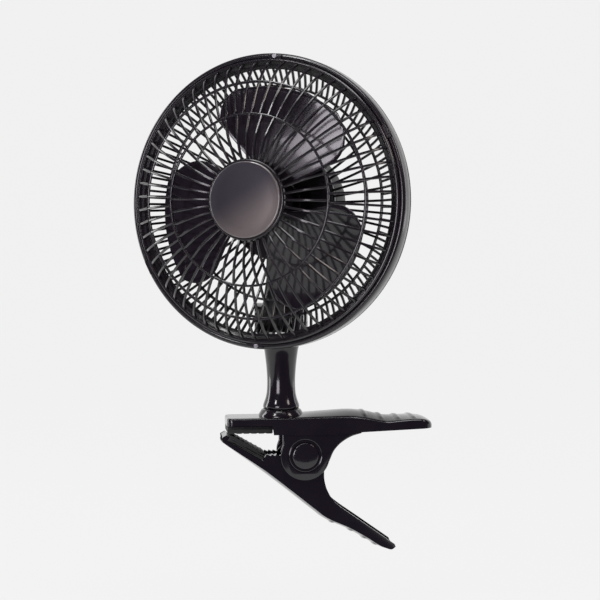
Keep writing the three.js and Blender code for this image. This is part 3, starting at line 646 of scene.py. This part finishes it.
lower = [(0, pad_thick), (0, 1.2), (1.2, 0), *ribbed_edge(lower_length, 3.6, -0.3),
         (lower_length, 0), (lower_length, pad_thick)]
lower_pad = plate([on_slope(*point) for point in lower], "Y", -arm_half, arm_half)
for side in (-1, 1):
    for depth in (1.4, 2.8):
        bead = [on_slope(1.6, depth), on_slope(lower_length - 0.4, depth),
                on_slope(lower_length - 0.4, depth + 0.7), on_slope(1.6, depth + 0.7)]
        combine(lower_pad, [plate(bead, "Y", side * (arm_half - 1), side * (arm_half + 0.4))], "UNION")
soften(lower_pad, 0.22)
settle(lower_pad, "lower_jaw_pad", clip_place, "jaw", ["lower_pad"], pad_rubber)

# ---- Swinging half of the clip ----
# The second ABS moulding swings between the cheeks: a channel with a crowned back, a seat and small
# teeth for the pad, and grip ribs under its handle. It is as black and glossy as the fixed half.

arm_wall = 3
back_wall = 1.6
arm_crown = 2.2
back_line = through([
    (-18.9, -5.2), (-16, -8.2), (13.4, -30.1), (41.7, -52.4), (48, -57.4), (54.6, -61.1),
    (67, -66.6), (84.8, -76.8), (91, -79.2), (95.5, -79.9), (98.4, -77.6),
], 8)
grip_ribs = (54.8, 67.6, 76.8, 83.9)


def crown_at(along):
    """How far the back's sides stand above its middle: less at both ends."""
    return arm_crown * min(1, 0.25 + 3 * along, 0.25 + 5 * (1 - along))


def along_line(line, share):
    """A point at a share of a line's length, and the line's direction there."""
    lengths = [hypot(b[0] - a[0], b[1] - a[1]) for a, b in zip(line, line[1:])]
    left = share * sum(lengths)
    for i, length in enumerate(lengths):
        if left <= length or i == len(lengths) - 1:
            break
        left -= length
    here, there = Vector(line[i]), Vector(line[i + 1])
    direction = (there - here).normalized()
    return here + direction * min(left, length), direction


def back_surface(along, across):
    """The crowned back of the arm: lowest along the middle, with grip ribs near the handle's end."""
    point, direction = along_line(back_line, along)
    inward = Vector((-direction.y, direction.x))
    rib = sum(max(0, 1 - ((point.x - centre) / 1.8) ** 2) for centre in grip_ribs)
    rib *= 0.7 * min(1, max(0, (0.9 - abs(across)) / 0.15))
    place = point + inward * (crown_at(along) * across ** 2 - rib)
    return place.x, arm_half * across, place.y


lower_jaw = shell(180, 22, back_surface, back_wall)
side_line = []
line_steps = 60
for i in range(line_steps + 1):
    point, direction = along_line(back_line, i / line_steps)
    inward = Vector((-direction.y, direction.x))
    side_line.append(tuple(point + inward * (crown_at(i / line_steps) + 0.1)))
heel = (49.6, -24)
hub_reach = hypot(heel[0] - pivot[0], heel[1] - pivot[1])
hub_angle = degrees(atan2(heel[1] - pivot[1], heel[0] - pivot[0]))
teeth = []
tooth_x, tooth_z = on_slope(lower_length + 0.3, 0)
for i in (2, 1, 0):
    teeth += [(tooth_x + 3 * i + 3, tooth_z - 0.9), (tooth_x + 3 * i + 0.8, tooth_z + 0.1)]
inner_edge = [
    *through([(97.4, -75.6), (76, -60.6), (58.4, -48), (52.4, -40), (49.8, -32), heel], 6),
    *arc_points(pivot, hub_reach, hub_angle + 6, hub_angle + 20, 3),
    *arc_points(pivot, 12, 6, 144, 20),
    *teeth,
    on_slope(lower_length + 0.3, pad_thick + 0.3),
    on_slope(-0.3, pad_thick + 0.3), on_slope(-0.3, 1.6), on_slope(-2.2, 1.4), on_slope(-4, 4.4),
]
web = side_line + inner_edge
sides = [plate(web, "Y", side * (arm_half - arm_wall), side * (arm_half - 0.15)) for side in (-1, 1)]
tip_lip = [
    on_slope(-3.6, 4), on_slope(-2.2, 1.5), on_slope(-0.4, 1.7),
    on_slope(-0.4, pad_thick + 1.3), on_slope(-2, pad_thick + 1.1),
]
pad_seat = [
    on_slope(-0.4, pad_thick + 0.4), on_slope(lower_length + 0.3, pad_thick + 0.4),
    on_slope(lower_length + 0.3, pad_thick + 1.6), on_slope(-0.4, pad_thick + 1.6),
]
tooth_bridge = [
    on_slope(lower_length + 0.4, 2.2), (tooth_x + 8.4, tooth_z - 1.6), (tooth_x + 8.4, tooth_z - 3.2),
    on_slope(lower_length + 3.4, pad_thick + 1.4), on_slope(lower_length - 1, pad_thick + 1.4),
    on_slope(lower_length - 1, pad_thick + 0.8), on_slope(lower_length + 0.4, pad_thick + 0.7),
]
seat_half = arm_half - 0.9
for part in (pad_seat, tip_lip, tooth_bridge):
    sides.append(plate(part, "Y", -seat_half, seat_half))
combine(lower_jaw, sides, "UNION")
combine(lower_jaw, [moved(rod(pin_hole, -beyond, beyond, 32), at_pivot)], "DIFFERENCE")
soften(lower_jaw, 0.45, 40)
settle(lower_jaw, "clip_swinging_half", clip_place, "jaw", ["lower_jaw"], gloss_black)

# ---- Hinge pin, its caps and the spring ----
# A turned steel pin joins the two halves, with a domed plastic cap pressed over each end. A spring
# of music wire is wound round the pin and its two legs push the handles apart.


def steel_finish(name, tone, roughness, tint=1.0, streaks=900):
    """Drawn or plated steel: fine lines along it, cloudy plating and a few dull specks."""
    finish = Finish(name, IOR=2.2, Metallic=1.0)
    stretch = finish.node("ShaderNodeMapping", None, {"Vector": finish.place, "Scale": (1, 1, 14)})
    lines = finish.noise(streaks, 3, 0.6, stretch)
    cloud = finish.noise(90, 4, 0.6)
    speck = finish.noise(1400, 2).between(0.66, 0.74)
    bright = finish.mix(cloud.between(0.35, 0.65), grey(tone, tint), grey(tone * 1.25, tint))
    finish.set(
        Base_Color=finish.mix(speck * 0.6, bright, grey(tone * 0.4)),
        Roughness=roughness + 0.12 * lines + 0.1 * cloud + 0.2 * speck,
    )
    finish.relief(lines, 0.00004, 0.3)
    return finish.material


def dress(material, *names):
    """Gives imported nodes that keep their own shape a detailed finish."""
    for name in names:
        for slot in frame["nodes"][name].material_slots:
            slot.material = material


zinc_steel = steel_finish("zinc_steel", 0.5, 0.22, 1.03)
spring_steel = steel_finish("spring_steel", 0.24, 0.26, 1.0, 1600)
dress(zinc_steel, "pivot_pin")

cap_radius, cap_face = 8.8, 19.3
for side, end in ((-1, "front"), (1, "back")):
    dome = [(0, 17), (cap_radius, 17), *[
        (cap_radius - 1 + cos(a) * 1, cap_face - 1.6 + sin(a) * 1) for a in (0, pi / 8, pi / 4, 3 * pi / 8)
    ], (cap_radius - 1.2, cap_face - 0.55), (6, cap_face - 0.2), (3, cap_face), (0, cap_face)]
    cap = moved(turned([(radius, side * y) for radius, y in dome], 72), at_pivot)
    settle(cap, f"hinge_cap_{end}", clip_place, "clip", [f"pivot_cap_{end}"],
           gloss_black, 50)

coil_radius, coil_half, wire_radius = 6, 6, 0.8


def wire(name, points, radius, body, nodes, material):
    """A round wire along a smooth curve."""
    curve = bpy.data.curves.new(name, "CURVE")
    curve.dimensions = "3D"
    curve.bevel_depth = radius
    curve.bevel_resolution = 3
    curve.use_fill_caps = True
    spline = curve.splines.new("POLY")
    spline.points.add(len(points) - 1)
    for knot, point in zip(spline.points, points):
        knot.co = (*point, 1)
    made = bpy.data.objects.new(name, curve)
    bpy.context.scene.collection.objects.link(made)
    clear_selection()
    made.select_set(True)
    bpy.context.view_layer.objects.active = made
    bpy.ops.object.convert(target="MESH")
    return settle(bpy.context.object, name, clip_place, body, nodes, material, 60)


def on_coil(angle, y):
    return (pivot[0] + coil_radius * cos(angle), y, pivot[1] + coil_radius * sin(angle))


coil_start = pi / 2
coil_end = coil_start - 11 * pi
turns = 260
leg = 24
coil = [on_coil(coil_start + (coil_end - coil_start) * i / turns, coil_half * (2 * i / turns - 1))
        for i in range(turns + 1)]
x, y, z = coil[0]
upper_leg = [(x + leg * cos(0.42), y, z + leg * sin(0.42)), (x + 1.2, y, z + 0.3)]
wire("spring_coil", upper_leg + coil[1:], wire_radius, "clip", ["torsion_spring"],
     spring_steel)
x, y, z = coil[-1]
lower_leg = [(x + 0.9, y, z - 0.8), (x + 0.75 * leg * cos(0.75), y, z - 0.75 * leg * sin(0.75))]
wire("spring_leg", coil[-30:-1] + lower_leg, wire_radius + 0.03, "jaw", ["torsion_spring"],
     spring_steel)

# ---- Stem and its collar ----
# A waisted post, moulded in ABS and glossy, that turns in a tapered collar on the clip. Its upper end
# is a fork that holds the head's knuckle with a screw, a nut and two nylon washers.

swivel_rest = radians(-28)
stem_place = clip_place @ at_swivel @ Matrix.Rotation(swivel_rest, 4, "Z")
collar = turned([
    (10.6, 9.4), (15.2, 9.4), (15.2, 11.4), (14.9, 12.2), (13.5, 14.5), (13.1, 15), (12.6, 15.2),
    (12.3, 15.1), (12.1, 14.8), (10.6, 14.8),
], 96, UP)
settle(collar, "stem_collar_ring", clip_place @ at_swivel, "clip", ["stem_collar"],
       gloss_black, 50)

tilt_z, ear_radius, fork_half, slot_half = 76.6, 10, 18, 11.6
post_line = through([
    (11.7, 15.2), (12.2, 16.4), (12, 18.5), (10.6, 22.5), (9.7, 27), (9.45, 34), (9.8, 41), (10.6, 49),
    (11.9, 57), (14.5, 63), (18, 68),
], 5)
stem = turned([(0, 15.2), *post_line, (18, 90), (0, 90)], 96, UP)
ear_outline = [
    (-12.6, 14.4), (12.6, 14.4), (12.2, 56), (11.6, 64),
    *arc_points((0, tilt_z), ear_radius, -18, 198, 36), (-11.6, 64), (-12.2, 56),
]
combine(stem, [plate(ear_outline, "X", -fork_half, fork_half)], "INTERSECT")
slot_floor = tilt_z - ear_radius - 1.4
slot = plate(rounded(oblong(-slot_half, slot_floor, slot_half, 100), 3), "Y", -20, 20)


def cross_rod(radius, start, end, height, steps=48):
    """A round tool along X at a height on the stem's axis."""
    bar = rod(radius, start, end, steps, UP)
    return moved(bar, Matrix.Translation((0, 0, height)) @ Matrix.Rotation(pi / 2, 4, "Y"))


tilt_hole, head_seat, nut_seat = 2.6, 4.8, 4.9
seat_face = fork_half - 2.2
swivel_pilot, pilot_end = 1.9, 34
combine(stem, [
    slot,
    cross_rod(tilt_hole, -beyond, beyond, tilt_z),
    cross_rod(head_seat, -beyond, -seat_face, tilt_z),
    cross_rod(nut_seat, seat_face, beyond, tilt_z, 6),
    rod(swivel_pilot, 0, pilot_end, 32, UP),
], "DIFFERENCE")
soften(stem, 0.7, 34, 3)
settle(stem, "waisted_stem", stem_place, "stem", ["stem"], gloss_black, 40)

nylon = Finish("nylon", IOR=1.53, Subsurface_Weight=0.08)
nylon_cloud = nylon.noise(140, 4, 0.6)
nylon.set(
    Base_Color=nylon.mix(nylon_cloud, (0.7, 0.67, 0.56, 1), (0.78, 0.75, 0.65, 1)),
    Roughness=0.38 + 0.2 * nylon_cloud,
)
nylon.relief(nylon.noise(700, 2), 0.00005, 0.3)
dress(nylon.material, "tilt_washer_left", "tilt_washer_right", "bobbin", "switch_body")
dress(zinc_steel, "swivel_screw", "swivel_washer", "tilt_screw", "tilt_nut")

# ---- Rear guard ----
# One polypropylene moulding, semi-gloss: the fan's deep rim, sixty curved bars with sixty short
# ones between them at the rim, two rings, and the flat plate that the motor is bolted to.

guard_black = moulded_gloss(
    "guard_black", (0.0072, 0.0058, 0.0082, 1), (0.0115, 0.0098, 0.0118, 1), 0.2, 60,
)
spin_joint = next(joint for joint in frame["joints"] if joint["name"] == "fan_spin")
fan_axis = Vector(spin_joint["axis"]).normalized()
head_place = Matrix.Translation(spin_joint["pos_m"]) @ Matrix((
    (fan_axis.y, fan_axis.x, 0, 0), (-fan_axis.x, fan_axis.y, 0, 0), (0, 0, 1, 0), (0, 0, 0, 1),
)) @ clip_place
rim_radius, rim_inner, rim_depth = 97, 94, 12
flange_inner = 87
bar_width, bar_thick = 1.6, 1.9


def join_all(pieces):
    """Makes one mesh of several closed solids of one moulding."""
    clear_selection()
    for piece in pieces:
        piece.select_set(True)
    bpy.context.view_layer.objects.active = pieces[0]
    bpy.ops.object.join()
    return bpy.context.object


def bar_ring(line, count, width, thick, steps=10, first=0.0):
    """Bars of a guard: one is shaped along a line of (radius, depth), the rest are spun copies."""
    clear_selection()
    bpy.ops.mesh.primitive_grid_add(x_subdivisions=steps, y_subdivisions=1, size=2)
    bar = bpy.context.object
    smooth = through(line, 8)
    for corner in bar.data.vertices:
        point, direction = along_line(smooth, (corner.co.x + 1) / 2)
        corner.co = (point.x, point.y, corner.co.y * width / 2)
    modify(bar, "SOLIDIFY", thickness=thick, offset=0)
    modify(bar, "BEVEL", width=0.28 * width, segments=1, limit_method="ANGLE", angle_limit=radians(60))
    bar.data.transform(Matrix.Rotation(first, 4, "Y"))
    edit((bpy.ops.mesh.spin, {
        "steps": count - 1, "dupli": True, "angle": tau * (count - 1) / count,
        "center": (0, 0, 0), "axis": (0, 1, 0),
    }))
    return bar


def guard_ring(radius, depth, width=1.6, thick=1.9, steps=120):
    """A ring of the guard with rounded edges."""
    half, deep = width / 2, thick / 2
    section = oblong(radius - half, depth - deep, radius + half, depth + deep)
    return turned(rounded(section, 0.45, 2), steps)


band = turned([
    (rim_inner, -1.1), (94.5, -1.4), (95.6, -1.4), (96.5, -0.9), (rim_radius, 0.2), (rim_radius, 9.6),
    (96.6, 9.9), (96.6, 10.4), (rim_radius, 10.7), (rim_radius, 11.4), (96.5, rim_depth), (94.5, rim_depth),
    (rim_inner, 11.5), (rim_inner, 4), (flange_inner + 0.4, 4), (flange_inner, 3.6), (flange_inner, 1.5),
    (flange_inner + 0.3, 1.1), (rim_inner, 1.1),
], 180)
snap_angles = [radians(27), radians(207)]
ear_angles = [radians(85), radians(267)]
tab_radius = 94.4


def block_at(angle, radial, deep, around, middle):
    """A box on the rim: its size inwards, along the axis and round the rim, and its middle depth."""
    corners = rounded(oblong(-radial / 2, -deep / 2, radial / 2, deep / 2), 0.5, 3)
    block = plate(corners, "Z", -around / 2, around / 2)
    return moved(block, Matrix.Rotation(-angle, 4, "Y") @ Matrix.Translation((tab_radius, middle, 0)))


combine(band, [block_at(angle, 4, 3.4, 9.8, -1) for angle in snap_angles + ear_angles], "DIFFERENCE")
soften(band, 0.25, 50)
plate_front, plate_back, plate_radius, bolt_x = 26.4, 29, 39, 15.8
mount_plate = turned([
    (7, plate_front + 0.4), (7.4, plate_front), (14, plate_front), (14.6, plate_front + 0.6),
    (24, plate_front + 0.6), (24.6, plate_front), (plate_radius - 0.6, plate_front),
    (plate_radius, plate_front + 0.6), (plate_radius, plate_back), (7, plate_back),
], 96)
posts = []
for x in (-bolt_x, bolt_x):
    post = turned([(1.8, plate_back - 0.3), (3.6, plate_back - 0.3), (3.6, 31.7), (3.3, 32), (1.8, 32)], 32)
    posts.append(moved(post, Matrix.Translation((x, 0, 0))))
rear_line = [(plate_radius - 1, 27.6), (50, 23.8), (65, 18), (77, 12.6), (84.5, 6.4), (88.6, 2.6)]
rear_guard = join_all([
    band, mount_plate, *posts,
    bar_ring(rear_line, 60, bar_width, bar_thick, 12),
    bar_ring([(77, 12.6), (81.5, 9.2), (84.5, 6.4), (88.6, 2.6)], 60, bar_width, bar_thick, 6, tau / 120),
    guard_ring(65, 18), guard_ring(77, 12.6, 1.8),
])
settle(rear_guard, "rear_guard_moulding", head_place, "head", ["rear_guard"],
       guard_black, 40)

# ---- Motor ----
# A small shaded-pole motor: pressed laminations with one bobbin of enamelled wire, two plated
# straps with bronze bearings, and long screws into the guard's plate. Two red leads join the switch.


def along_head(finish, output):
    """How far a point lies along one of the head's own axes."""
    turn = finish.node("ShaderNodeVectorRotate", {"rotation_type": "Z_AXIS"},
                       {"Vector": finish.place, "Angle": atan2(fan_axis.x, fan_axis.y)})
    return finish.node("ShaderNodeSeparateXYZ", None, {"Vector": turn}, output=output)


def saw(finish, value, half):
    """A height that rises and falls from 0 to 1 at a pitch of twice the half width."""
    return finish.node("ShaderNodeMath", {"operation": "PINGPONG"}, {0: value, 1: half}) / half


def lamination_finish():
    """Punched steel sheets 0.5 mm thick, seen as fine lines along the stack, with a little rust."""
    finish = Finish("lamination", IOR=2.2, Metallic=0.9)
    sheet = saw(finish, along_head(finish, 1), 0.00025)
    seam = 1 - sheet.between(0.05, 0.3)
    stain = finish.noise(120, 5, 0.65).between(0.5, 0.7)
    colour = finish.mix(stain * 0.6, (0.3, 0.31, 0.33, 1), (0.16, 0.11, 0.08, 1))
    finish.set(Base_Color=finish.mix(seam * 0.7, colour, grey(0.05)), Roughness=0.35 + 0.2 * stain)
    finish.relief(sheet, 0.00005, 0.5)
    return finish.material


def winding_finish():
    """Enamelled copper wire: turns side by side along the bobbin, under a little varnish."""
    finish = Finish("copper", IOR=1.6, Metallic=0.85)
    strand = saw(finish, along_head(finish, 0), 0.00015)
    varnish = finish.noise(200, 3).between(0.45, 0.65)
    copper_tone = finish.mix(varnish, (0.45, 0.14, 0.05, 1), (0.28, 0.08, 0.03, 1))
    finish.set(
        Base_Color=finish.mix(1 - strand.between(0.0, 0.5), copper_tone, (0.09, 0.025, 0.01, 1)),
        Roughness=0.28 + 0.15 * varnish,
        Coat_Weight=0.4 * varnish,
    )
    finish.relief(strand, 0.00006, 0.7)
    return finish.material


def bronze_finish():
    """Sintered bronze, porous and dark with oil."""
    finish = Finish("bronze", IOR=1.8, Metallic=0.9)
    pores = finish.noise(2200, 3, 0.7)
    oil = finish.noise(160, 3).between(0.45, 0.6)
    finish.set(
        Base_Color=finish.mix(pores.between(0.55, 0.7), (0.42, 0.25, 0.11, 1), (0.12, 0.07, 0.03, 1)),
        Roughness=0.5 - 0.2 * oil,
        Coat_Weight=0.3 * oil,
    )
    finish.relief(pores, 0.00005, 0.5)
    return finish.material


def lead_finish():
    """Red PVC insulation, slightly waxy, with a faint grain."""
    finish = Finish("lead_sheath", IOR=1.5)
    wax = finish.noise(240, 3)
    finish.set(Base_Color=finish.mix(wax, (0.3, 0.02, 0.012, 1), (0.4, 0.04, 0.025, 1)),
               Roughness=0.34 + 0.2 * wax)
    finish.relief(finish.noise(900, 2), 0.00005, 0.3)
    return finish.material


dress(lamination_finish(), "stator_core", "rotor_core")
dress(winding_finish(), "winding")
dress(bronze_finish(), "bearing_front", "bearing_rear")
dress(lead_finish(), "lead_1", "lead_2")
dress(zinc_steel, "bracket_front", "bracket_rear", "shaft", "blade_nut",
      *[f"motor_screw_{i}" for i in (1, 2)],
      *[f"cover_screw_{i}" for i in (1, 2, 3, 4)],
      *[f"guard_screw_{i}" for i in (1, 2)])

# ---- Motor housing ----
# A cup of spark-textured ABS, screwed to the guard's plate from the front, with vent slots in its
# back and a flat neck that comes down behind the guard to the tilt knuckle.


def cover_finish():
    """Black ABS with a fine spark texture, rubbed smooth here and there."""
    finish = Finish("cover_black", IOR=1.5)
    spark = finish.noise(1900, 3, 0.75)
    rubbed = finish.noise(22, 4, 0.6).between(0.55, 0.75)
    finish.set(
        Base_Color=finish.mix(spark, grey(0.009, 1.04), grey(0.018, 1.04)),
        Roughness=0.5 - 0.16 * rubbed + 0.08 * spark,
    )
    finish.relief(spark, 0.00012, 0.6)
    return finish.material


cover_black = cover_finish()
cover_radius, cover_front, cover_back = 38, 29.3, 67
tilt_back, tilt_drop, knuckle_half = 28, 77, 10.3
shell_line = [
    (0, cover_back), (20, cover_back - 0.2), (26, cover_back - 0.9), (30, cover_back - 2.4),
    (33, cover_back - 5), (35, cover_back - 8.4), (36.4, 54), (37.4, 49), (cover_radius, 44),
    (cover_radius, 33.2), (cover_radius - 0.4, 32.9), (cover_radius - 0.4, 32.3), (cover_radius, 32),
    (cover_radius, cover_front),
]
hollow_line = [(cover_radius - 2.4, cover_front - 2), (cover_radius - 2.4, 44), (33.4, 55), (30.4, 61),
               (24.6, 64), (0, 64.6)]
housing = turned([*shell_line, (0, cover_front)], 120)
neck = [
    (tilt_back - ear_radius * cos(0.5), -tilt_drop + ear_radius * sin(0.5)), (22.7, -60), (26.4, -50),
    (cover_front, -43), (cover_front, -30), (56, -30), (56, -37),
    *through([(56, -37), (48.6, -44.8), (43.4, -52), (40.5, -60)], 5)[1:],
    (tilt_back + ear_radius - 0.4, -tilt_drop + 3),
    *[(tilt_back + ear_radius * cos(a), -tilt_drop + ear_radius * sin(a))
      for a in [0.2 - (pi + 0.7) * i / 30 for i in range(31)]],
]
neck_solid = plate(neck, "X", -knuckle_half, knuckle_half)
soften(neck_solid, 1.0, 40, 3)
combine(housing, [neck_solid], "UNION")
hollows = [turned([(0, cover_front - 2), *hollow_line], 120)]
vent_pitch, vent_half, vent_width = 5.4, 13, 2.2
back_inside, back_outside = 58, 72
for row in range(-2, 3):
    height = row * vent_pitch - 2.1
    vent = oblong(-vent_half, height - vent_width / 2, vent_half, height + vent_width / 2)
    hollows.append(plate(rounded(vent, 1), "Y", back_inside, back_outside))
knob_z, gland_z = 17, -18
for radius, height in ((3.4, knob_z), (5.6, gland_z)):
    hole = rod(radius, back_inside, back_outside, 40)
    hollows.append(moved(hole, Matrix.Translation((0, 0, height))))
at_tilt = Matrix.Translation((0, tilt_back, -tilt_drop)) @ Matrix.Rotation(pi / 2, 4, "Y")
hollows.append(moved(rod(tilt_hole, -beyond, beyond, 32, UP), at_tilt))
combine(housing, hollows, "DIFFERENCE")
soften(housing, 0.4, 42)
screw_posts = []
screw_circle = 33.2
for angle in (45, 135, 225, 315):
    x, z = arc_points((0, 0), screw_circle, angle, angle, 1)[0]
    post = turned([(1.5, cover_front), (2.9, cover_front), (2.9, 46), (1.5, 46)], 24)
    screw_posts.append(moved(post, Matrix.Translation((x, 0, z))))
settle(join_all([housing, *screw_posts]), "motor_housing", head_place, "head", ["motor_cover"],
       cover_black, 40)

gland = moved(turned([
    (3.5, 61.6), (6.6, 61.6), (6.6, 63.1), (5.3, 63.1), (5.3, 67.4), (6.8, 67.4), (7, 67.8), (6.7, 69),
    (6.3, 69), (6.3, 69.5), (6.1, 70.4), (5.8, 70.4), (5.6, 71.4), (5.1, 72), (3.9, 72), (3.5, 71.6),
], 48), Matrix.Translation((0, 0, gland_z)))
settle(gland, "cord_inlet_bush", head_place, "head", ["cord_gland"], pad_rubber, 40)

# ---- Fan blade ----
# Three broad paddles and their hub in one polished moulding, slightly violet, pressed on the flatted
# shaft and held by a nut. Each paddle is pitched, cambered and thinner towards its edges.


def blade_finish():
    """Polished black blade plastic with long flow lines and a little dust in scattered specks."""
    finish = Finish("blade_black", IOR=1.52, Coat_Roughness=0.04)
    flow = finish.noise(30, 5, 0.6)
    dust = finish.noise(1300, 4, 0.75).between(0.62, 0.78)
    base = finish.mix(flow.between(0.35, 0.65), (0.006, 0.004, 0.007, 1), (0.011, 0.008, 0.012, 1))
    finish.set(
        Base_Color=finish.mix(dust * 0.3, base, grey(0.06)),
        Roughness=0.12 + 0.06 * flow + 0.3 * dust,
        Coat_Weight=0.5 - 0.4 * dust,
    )
    finish.relief(flow, 0.0002, 0.25)
    return finish.material


hub_radius, blade_radius = 16, 75
paddle_root = 14


def paddle_surface(out, across):
    """One paddle: round outer corners, more pitch at its root, a camber that grows outwards."""
    radius = paddle_root + (blade_radius - paddle_root) * out
    rounding = sqrt(1 - max(0, (out - 0.62) / 0.38) ** 2 * 0.62)
    half_span = radians(30 + 14 * sin(min(1, out * 1.5) * pi / 2)) * rounding
    angle = radians(66) - half_span * across + radians(10) * out
    pitch = radians(26 - 8 * out)
    depth = -2 + radius * half_span * across * tan(pitch) * 0.62 + 2.4 * (1 - across ** 2) * out
    return radius * cos(angle), depth, radius * sin(angle)


paddle = shell(30, 28, paddle_surface, -0.8)
for corner in paddle.data.vertices:
    corner.co.y -= 0.4
modify(paddle, "BEVEL", width=0.3, segments=2, limit_method="ANGLE", angle_limit=radians(50))
edit((bpy.ops.mesh.spin, {"steps": 2, "dupli": True, "angle": 2 * tau / 3,
                          "center": (0, 0, 0), "axis": (0, 1, 0)}))
hub = turned([
    (2.3, -14.4), (9.4, -14.4), (10, -14.2), (14.4, -12.6), (15.4, -11.6), (hub_radius, -10),
    (hub_radius, 9.7), (15.7, 10), (14.4, 10), (14.2, 9.7), (14.2, -8), (5.6, -11.4), (5.6, 17.6),
    (5.2, 18), (2.3, 18),
], 96)
settle(join_all([hub, paddle]), "three_paddle_blade", head_place, "rotor", ["fan_blade"],
       blade_finish(), 40)

# ---- Front guard ----
# The second guard moulding snaps into the rim: forty bars from the hub plate to the inner ring,
# sixty on to the outer ring, all drawn forward in a shallow bowl, and two screwed ears.

ring_line = rounded([
    (87.6, 0.1), (88.6, -0.7), (90.2, -1.3), (91, -2.1), (91.6, -2.6), (92.6, -2.6), (92.9, -2.2),
    (93.4, -1.8), (93.6, -1.1), (93.6, 0.8, 0.2), (87.6, 0.8, 0.2),
], 0.25, 2)
front_ring = turned(ring_line, 180)
hub_plate_radius = 26.3
hub_plate = turned([
    (0, -30.4), (25.2, -30.4), (25.6, -30.4), (26.1, -30), (hub_plate_radius, -29.4),
    (hub_plate_radius, -27.8), (25.9, -27.4), (0, -27.4),
], 96)
inner_ring, outer_ring = 55, 76.5
front_thick = 1.8
inner_line = [(24.5, -28.2), (30, -30.2), (38, -31.2), (43, -31.1), (inner_ring, -27.2)]
outer_line = [
    (inner_ring, -27.2), (66, -23.4), (outer_ring, -17.7), (84.6, -11.2), (88, -7.4), (90, -4.2),
    (90.9, -1.4),
]
tabs = [block_at(angle, 3.4, 2.4, 9, -1) for angle in snap_angles + ear_angles]
ear_hole, ear_hole_radius = 1.1, 94.9
holes = []
for angle in ear_angles:
    place = Matrix.Translation((ear_hole_radius * cos(angle), 0, ear_hole_radius * sin(angle)))
    holes.append(moved(rod(ear_hole, -10, 10, 24), place))
combine(front_ring, tabs, "UNION")
combine(front_ring, holes, "DIFFERENCE")
front_guard = join_all([
    front_ring, hub_plate,
    bar_ring(inner_line, 40, bar_width, front_thick, 10, tau / 240),
    bar_ring(outer_line, 60, bar_width, front_thick, 12, tau / 120),
    guard_ring(inner_ring, -27.2, 1.5, 1.9), guard_ring(outer_ring, -17.7, 1.7, 1.9),
])
settle(front_guard, "front_guard_moulding", head_place, "head", ["front_guard"],
       guard_black, 40)

# ---- Hub disc ----
# A smoked metallic disc under clear lacquer is glued to the guard's hub plate. It is faintly domed,
# with a bright turned edge, and carries no marking.


def badge_finish():
    """Metallic film with fine turned rings; a painted reflection makes it lighter and warmer towards the
    bottom and the +X side, fading in a hazy band, and leaves it darker and cooler above.
    """
    finish = Finish("badge", IOR=1.5, Coat_Weight=0.8, Coat_Roughness=0.05)
    centre = Vector(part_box("hub_badge")[0]).lerp(Vector(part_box("hub_badge")[1]), 0.5)
    local = finish.node("ShaderNodeVectorMath", {"operation": "SUBTRACT"}, {0: finish.place, 1: centre})
    radius = finish.node("ShaderNodeVectorMath", {"operation": "LENGTH"}, {0: local}, output="Value")
    split = finish.node("ShaderNodeSeparateXYZ", None, {"Vector": local})
    height = Shade(finish, split.socket.node.outputs["Z"])
    side = Shade(finish, split.socket.node.outputs["X"])
    # Painted reflection: the disc's colour is lightened and warmed towards its bottom and its +X side.
    painted_reflection = (side * 0.7 - height + 0.004).between(-0.006, 0.026)
    rings = finish.node("ShaderNodeMath", {"operation": "SINE"}, {0: radius * 9000}) * 0.5 + 0.5
    flake = finish.noise(1800, 2, 0.7)
    cool = finish.mix(flake, (0.030, 0.028, 0.036, 1), (0.042, 0.039, 0.048, 1))
    tone = finish.mix(painted_reflection, cool, (0.15, 0.13, 0.12, 1))
    edge = radius.between(0.0236, 0.0241)
    finish.set(
        Base_Color=finish.mix(edge * 0.6, tone, (0.25, 0.23, 0.22, 1)),
        Roughness=0.3 + 0.06 * rings + 0.05 * flake,
        Metallic=0.45 + 0.3 * edge,
    )
    finish.relief(rings, 0.00002, 0.15)
    return finish.material


badge_radius = 24.5
badge = turned([
    (0, -30.7), (badge_radius, -30.7), (badge_radius, -32), (24.3, -32.3), (23.9, -32.5), (23.4, -32.5),
    (22.9, -32.45), (18, -32.9), (12, -33.15), (6, -33.27), (0, -33.3),
], 128)
settle(badge, "hub_disc", head_place, "head", ["hub_badge"], badge_finish(), 35)

# ---- Speed knob ----
# A pointer knob of the same textured ABS as the housing is pushed on the switch's spindle, with a
# knurled skirt for the fingers.

knob_back = cover_back + 0.5
knob = turned([
    (0, knob_back), (9, knob_back), (9.4, knob_back + 0.4), (9.4, knob_back + 1.7), (9, knob_back + 2.2),
    (7.8, knob_back + 2.4), (7.5, knob_back + 3), (7.1, knob_back + 9), (6.6, knob_back + 9.8),
    (5.8, knob_back + 10), (0, knob_back + 10),
], 96)
flutes = []
flute_count, flute_circle = 20, 7.7
for i in range(flute_count):
    angle = tau * (i + 0.5) / flute_count
    place = Matrix.Translation((flute_circle * cos(angle), 0, flute_circle * sin(angle)))
    flutes.append(moved(rod(0.75, knob_back + 3.4, knob_back + 12, 12), place))
combine(knob, [join_all(flutes)], "DIFFERENCE")
pointer = rounded(oblong(-2, -6.6, 2, 6.6), 1.2)
combine(knob, [
    plate(pointer, "Y", knob_back + 9, knob_back + 12.4),
    turned([(0, 57.4), (2.3, 57.4), (2.6, 57.8), (2.6, knob_back + 1), (0, knob_back + 1)], 32),
], "UNION")
mark = oblong(-0.35, 2, 0.35, 6)
combine(knob, [plate(mark, "Y", knob_back + 12, knob_back + 14)], "DIFFERENCE")
soften(knob, 0.25, 45)
moved(knob, Matrix.Translation((0, 0, knob_z)))
settle(knob, "pointer_knob", head_place, "knob", ["speed_knob"], cover_black, 40)
